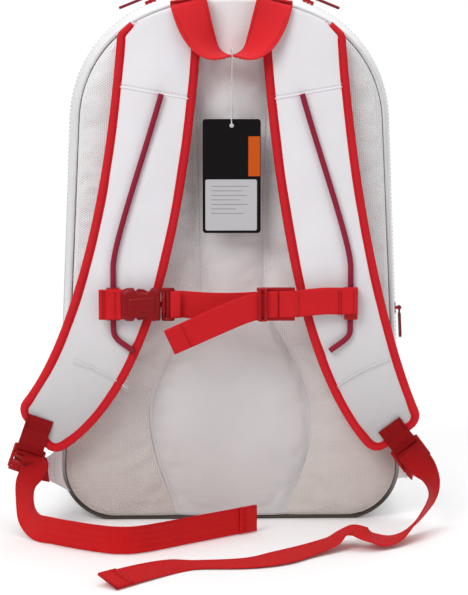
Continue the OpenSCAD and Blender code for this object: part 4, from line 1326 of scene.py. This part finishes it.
def build_plug():
    """The plug's head with its two webbing bars and the tongue between its latch arms."""
    tongue = node_box("buckle_plug")[0][0]
    head = mirrored([(PLUG_X, CHEST_HALF - 0.6), (PLUG_X + 4.5, CHEST_HALF)])
    parts = [domed_plate("plug", head, 1.6, 5.4, edge=0.8)]
    for s in (-1, 1):
        start, end = ((PLUG_X + dx, CHEST_Y, CHEST_Z + s * (CHEST_HALF - 1.8)) for dx in (3, 12))
        parts.append(rounded_bar("plug", start, end, 4.6, 3.4, (0, 0, 1), BUCKLE))
    for dx, wide in ((11.0, 3.4), (6.0, 4.4)):
        parts.append(upright("plug", PLUG_X + dx, CHEST_HALF - 1.5, wide, 3.2, BUCKLE))
    parts.append(domed_plate("plug", mirrored([(tongue, 1.6), (PLUG_X + 1, 2.4)]), 1.0, 2.8, edge=0.6))
    fit(join("plug", parts), "buckle_plastic", "plug", "buckle_plug")


def build_latch_arms():
    root, tip = PLUG_X - 0.6, PLUG_X - 23.8
    arm = ((root, 8.6), (root, 11.4), (tip + 9, 11.4), (tip + 7.6, 14.2), (tip + 2, 14.6), (tip, 12),
           (tip, 8.8), (tip + 3, 8.6))
    for name, s in (("upper", 1), ("lower", -1)):
        obj = domed_plate("latch_" + name, [(x, CHEST_Z + s * h) for x, h in arm], 1.0, 3.0, edge=0.5)
        fit(obj, "buckle_plastic", "arm_" + name, "latch_arm_" + name)


def build_chest_lock():
    """The chest strap's ladder lock, with a raised ring of ribs over its inner end."""
    length = node_box("chest_ladder_lock")[1][0] - LADDER_X
    obj = ladder_lock("chest_lock", lambda p: np.array((LADDER_X + p[1], CHEST_Y - p[2], CHEST_Z + p[0])),
                      CHEST_HALF, length, ((2, 3.4), (16, 3.6), (31, 4.0)), lip=False)
    ribs = [upright("rib", LADDER_X + dx, CHEST_HALF - 0.6, 3.0, 2.6, LADDER, y=CHEST_Y - dy)
            for dx, dy in ((1.2, 8.0), (6.6, 7.2))]
    for s in (-1, 1):
        x, z = LADDER_X + 3.9, CHEST_Z + s * (CHEST_HALF - 1.2)
        start, end = (x, CHEST_Y - 8.4, z), (x, CHEST_Y + 0.5, z)
        ribs.append(rounded_bar("rib", start, end, 8.4, 2.2, (0, 0, 1), LADDER))
    fit(join("chest_lock", [obj] + ribs), "ladder_plastic", "chest_right", "chest_ladder_lock")


def build_chest_main():
    """Round the plug's bar, across to the ladder lock, round its middle bar and out as a free tail."""
    y, z, bar = CHEST_Y, CHEST_Z, LADDER_BAR_X
    fold = [(PLUG_X + 18, y - 2.0, z)]
    fold += [(PLUG_X + 11 + 2.6 * math.cos(a), y - 2.86 * math.sin(a), z)
             for a in np.radians((70, 110, 150, 190, 230, 260))]
    t = np.linspace(0, 1, 30)
    bow = np.sin(np.pi * t[1:])
    sag = np.stack([lerp(PLUG_X + 16, bar, t[1:]), y + 3.0 + 2.2 * bow, z - 2.6 * bow], axis=1)
    turn = [(bar + 3.0 * math.cos(a), y + 3.0 * math.sin(a), z) for a in np.radians((60, 30, 0, -30, -60))]
    free = bezier(((bar - 4, y - 3.4, z), (16, y - 6, z), (0, y - 15, z - 8), (-58, y - 11, z - 34)), t)
    path = resample(np.vstack([fold, sag, turn, free]), 2.4)
    drop = np.clip((z - path[:, 2]) / 34, 0, 1) * (path[:, 1] < y - 3)
    span = np.clip((path[:, 0] - PLUG_X - 16) / (bar - PLUG_X - 16), 0, 1)
    twist = np.where(path[:, 1] > y + 1, np.sin(np.pi * span), 0)
    across = np.stack([-0.32 * drop, 0.10 * twist - 0.12 * drop, np.ones(len(path))], axis=1)
    obj = webbing("chest_run", path, across, WEB_W, WEB_T, WEB)
    fit(obj, "web_red", "chest_right", "chest_webbing_main")
    squash(obj)
    obj = webbing("chest_tail_hem", path[-8:] + (0, -1.2, 0), across[-8:], WEB_W - 0.4, 1.2, WEB)
    fit(obj, "web_red", "chest_right")
    squash(obj)


def squash(obj):
    """Gives a piece of chest webbing its own copy of its mesh."""
    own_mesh(obj)


def tacks(xs, dy, dz, half):
    """Upright rows of stitches across the chest strap, raised by dz."""
    z = CHEST_Z + dz
    return [(np.array([(x, CHEST_Y - dy, z - half), (x, CHEST_Y - dy, z + half)]), (0, -1, 0)) for x in xs]


def build_chest_ends():
    """The sewn ends: right, ladder lock to rail clip, and left, rail clip to the socket's eye."""
    x = np.linspace(LADDER_X + 19.3, node_box("chest_webbing_right")[1][0] + 0.5, 30)
    y = CHEST_Y - 2.4 + 0.9 * np.sin((x - x[0]) / 17) + 0.4 * smooth((x - 90) / 20)
    right = np.stack([x, y, CHEST_Z + 3.0 * smooth((x - 50) / 40)], axis=1)
    low, high = node_box("chest_webbing_left")
    x = np.linspace(low[0], high[0] + 2.5, 16)
    left = np.stack([x, CHEST_Y - 1.6 + 0.7 * smooth((x - x[0]) / 18), np.full(16, CHEST_Z)], axis=1)
    right_tacks = tacks((98, 100.5, 112), 4.0, 1, 11) + tacks((LADDER_X + 37,), 4.2, 0, 11)
    ends = (
        ("right", "chest_right_run", right, WEB_W, 2.2, right_tacks),
        ("left", "chest_left_stub", left, WEB_W + 3, 3.0, tacks((-119.5, -117.5, -108), 3.4, 0, 12)),
    )
    for side, name, path, width, thick, runs in ends:
        body = "chest_" + side
        obj = webbing(name, path, np.broadcast_to((0, 0, 1.0), path.shape), width, thick, WEB)
        fit(obj, "web_red", body, "chest_webbing_" + side)
        stitches(f"chest_{side}_stitch", runs, "web_red", body, 1.8, 0.8, 0.4)


# ---- Haul loop and hang tag ----

HAUL_W, HAUL_X = 34.0, 40.0
HAUL_Z = (443.0, 493.0)
HAUL_Y = (-127.5, -124.2)
TAG_Y = HAUL_Y[0]


def haul_stations(n=61):
    """The loop turns from edge-on at its middle to face-on at its ends, square to its own path."""
    s = np.linspace(-1, 1, n)
    f, sign = np.abs(s), np.sign(s)
    x, y, z = sign * HAUL_X * f**0.8, lerp(HAUL_Y[0], HAUL_Y[1], f), lerp(HAUL_Z[0], HAUL_Z[1], f**2.6)
    a = np.pi / 2 * f**1.15
    slope = np.arctan2(2.6 * (HAUL_Z[1] - HAUL_Z[0]) * f**1.6, 0.8 * HAUL_X * np.maximum(f, 0.01) ** -0.2)
    across = np.stack([sign * np.sin(a) * np.sin(slope), -np.cos(a), -np.sin(a) * np.cos(slope)], axis=1)
    return np.stack([x, y, z], axis=1), across


def build_haul():
    """The haul loop with its edge stitches, and its two ends sewn into the arch."""
    path, across = haul_stations()
    obj = webbing("haul_band", path, across, HAUL_W, 2.0, WEB)
    bend = ("bag", "haul", (0, HAUL_Y[1], HAUL_Z[1] + 1), (0, HAUL_Y[0], HAUL_Z[1] - 22))
    fit(obj, "web_red", None, "haul_loop", bend=bend)
    A = unit(across)
    B = unit(np.cross(tangents(path), A))
    inner = slice(3, -3)
    edge = (HAUL_W / 2 - 2.8) * A[inner]
    runs = [(path[inner] + side * edge + face * 1.1 * B[inner], face * B[len(B) // 2])
            for side in (-1, 1) for face in (-1, 1)]
    stitches("haul_stitch", runs, "web_red", None, 2.4, 1.4, 0.34, bend=bend)
    f = np.linspace(0, 2.6, 10)
    for side, sign in SIGN.items():
        cover = np.stack([np.full(len(f), sign * HAUL_X), HAUL_Y[1] + 1.2 + 6 * f,
                          HAUL_Z[1] + 1 + 2.4 * np.sin(np.pi * f)], axis=1)
        across = np.broadcast_to((1.0, 0, -0.25 * sign), cover.shape)
        fit(webbing("haul_root_" + side, cover, across, HAUL_W, 2.0, WEB), "web_red", "bag")


def card_panel(name, x, z, y, thick, radius, material):
    """A flat panel on the tag between two x and two z."""
    corners = [(x[0], z[0]), (x[1], z[0]), (x[1], z[1]), (x[0], z[1])]
    levels = [(share, y + dy * thick / 2) for share, dy in ((0.02, -1), (1, -1), (1, 1), (0.02, 1))]
    obj = plate(name, rounded_outline(corners, radius, 7), levels, material)
    obj.data.polygons.foreach_set("use_smooth", [False] * len(obj.data.polygons))
    fit(obj, "card", "tag")


def build_tag():
    """The card with its stuck-on label, seven plain lines, a colour panel, an eyelet and a looped string."""
    low, high = node_box("tag_card")
    dress(CARD, 0.2, "tag_card", segments=2)
    front = low[1] - 0.1
    x, z = (low[0] + 2.5, high[0] - 3.5), (low[2] + 2.5, low[2] + 50)
    card_panel("tag_label", x, z, front, 0.25, 2.0, LABEL)
    for k, short in enumerate((3, 9, 5, 12, 4, 15, 8)):
        top = low[2] + 44 - 4.2 * k
        x, z = (low[0] + 8, high[0] - 8 - short), (top - 0.7, top)
        card_panel(f"tag_line_{k}", x, z, front - 0.12, 0.1, 0.1, INK)
    x, z = (high[0] - 11.5, high[0] - 0.6), (low[2] + 53, low[2] + 90)
    card_panel("tag_patch", x, z, front, 0.2, 0.6, PATCH)
    hole = high[2] - 6
    a = turns(20)
    middle = (low[0] + high[0]) / 2
    eyelet = np.stack([middle + 1.6 * np.cos(a), np.full(20, low[1] - 0.1), hole + 1.6 * np.sin(a)], axis=1)
    fit(tube("tag_eyelet", eyelet, 0.4, STRING, closed=True, sides=8), "cord_white", "tag")
    loop = [(0, TAG_Y - (HAUL_W / 2 + 2) * math.cos(k), HAUL_Z[0] + 4 + 3 * math.sin(k))
            for k in np.linspace(0, math.pi, 12)]
    card = high[2] + 2
    down = [(0, 16, 434), (0, 1, 414), (0.4, 1.2, card), (0.2, 1.0, hole)]
    up = [(0, -0.9, hole - 0.8), (-0.4, -1.3, card), (0, -1, 414), (0, -12, 430)]
    loop += [(x, TAG_Y + dy, z) for x, dy, z in down + up]
    loop = resample(loop, 1.5, closed=True)
    obj = tube("tag_string", loop, 0.5, STRING, across=(1, 0, 0), closed=True, sides=8)
    fit(obj, "cord_white", None, "tag_cord", bend=("cord", "tag", (0, TAG_Y, 440), (0, TAG_Y, card)))


# ---- CAD nodes that keep their shape ----


def dress(material, width, *nodes, segments=3):
    """Gives the frame's own nodes a material and rounded edges."""
    for node in nodes:
        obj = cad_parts[node]
        obj.data.materials.clear()
        obj.data.materials.append(material)
        soften(obj, width, segments)


def build_hardware():
    for name in ("main_{}_left", "main_{}_right", "side_{}_left", "side_{}_right", "front_{}"):
        dress(SLIDER, 0.5, name.format("slider"))
        dress(PULL, 0.7, name.format("pull"))
    dress(LADDER, 0.8, "rail_clip_left", "rail_clip_right")
    dress(BOARD, 0.3, "back_board")
    dress(FOAM, 1.5, "racket_divider")


# ---- Studio ----


def area_light(name, place, target, size, energy):
    """A square lamp. Places and sizes are in metres."""
    data = bpy.data.lights.new(name, "AREA")
    data.size = size
    data.energy = energy
    obj = bpy.data.objects.new(name, data)
    obj.location = place
    obj.rotation_euler = (Vector(target) - Vector(place)).to_track_quat("-Z", "Y").to_euler()
    bpy.context.scene.collection.objects.link(obj)


def build_world():
    """Even white surroundings: full strength behind the bag, softer as a light on it."""
    world = bpy.data.worlds.new("studio")
    world.use_nodes = True
    nodes, links = world.node_tree.nodes, world.node_tree.links
    background = nodes["Background"]
    background.inputs[0].default_value = (1.0, 1.0, 1.0, 1.0)
    path = nodes.new("ShaderNodeLightPath")
    mix = nodes.new("ShaderNodeMix")
    links.new(path.outputs["Is Camera Ray"], mix.inputs["Factor"])
    mix.inputs["A"].default_value = 0.52
    mix.inputs["B"].default_value = 1.0
    links.new(mix.outputs["Result"], background.inputs[1])
    bpy.context.scene.world = world


def build_floor():
    """Pale paper under the bag that fades out into the white surroundings, whichever way the view faces."""
    a = turns(48)
    rings = [np.stack([r * np.cos(a), r * np.sin(a), 0 * a], axis=1) for r in (1.0, 600.0, 1200.0, 2400.0)]
    s = Shader("floor_paper", srgb(255, 255, 255), 0.8, 0.1)
    distance = s.nodes.new("ShaderNodeVectorMath")
    distance.operation = "LENGTH"
    s.feed(distance.inputs[0], s.coords())
    s.set("Alpha", s.remap(distance.outputs["Value"], 0.35, 0.8, 1, 0))
    face_away(grid("floor", np.array(rings), s.mat, closed=True), (0, 0, -100))


def build_studio():
    bpy.context.scene.view_settings.view_transform = "Standard"
    build_world()
    build_floor()
    area_light("key", (-1.3, -1.9, 2.1), (-0.1, 0, 0.4), 1.5, 37)
    area_light("fill", (1.7, -1.9, 1.2), (0, 0, 0.3), 2.0, 5)
    area_light("top", (0.1, 0.2, 2.4), (0, 0, 0.2), 1.8, 18)
    area_light("rear", (0.9, 2.3, 1.5), (0, 0, 0.25), 2.0, 22)


CAMERA_DISTANCE = 1.6
CAMERA_AZIMUTH, CAMERA_ELEVATION = math.radians(-1.3), math.radians(5.8)
CAMERA_TARGET = Vector((0, -0.1, 0.25))


def build_camera():
    """A long lens slightly left of the middle and a little above it, facing the bag's back panel."""
    scene = bpy.context.scene
    level = Vector((math.sin(CAMERA_AZIMUTH), -math.cos(CAMERA_AZIMUTH), 0))
    to_camera = level * math.cos(CAMERA_ELEVATION) + Vector((0, 0, math.sin(CAMERA_ELEVATION)))
    camera = bpy.data.cameras.new("camera")
    camera.sensor_fit = "VERTICAL"
    camera.sensor_height = 36
    camera.lens = 101.83
    camera.shift_x, camera.shift_y = 0.00504, -0.06134
    obj = bpy.data.objects.new("camera", camera)
    obj.location = CAMERA_TARGET + CAMERA_DISTANCE * to_camera
    obj.rotation_euler = (-to_camera).to_track_quat("-Z", "Y").to_euler()
    scene.collection.objects.link(obj)
    scene.camera = obj


build_walls()
build_edge_piping()
build_main_zip()
build_side_zips()
build_front_panel()
build_pocket()
build_pocket_trim()
build_back_pads()
build_center_pad()
for strap_side in SIGN:
    strap_face = build_strap_body(strap_side)
    build_binding(strap_side)
    build_rail(strap_side)
    build_strap_seams(strap_side, strap_face)
    build_lock(strap_side)
    build_wing(strap_side)
    build_lower_webbing(strap_side)
    build_tail(strap_side)
build_socket()
build_plug()
build_latch_arms()
build_chest_lock()
build_chest_main()
build_chest_ends()
build_haul()
build_tag()
build_hardware()
build_studio()
build_camera()

bpy.context.view_layer.update()
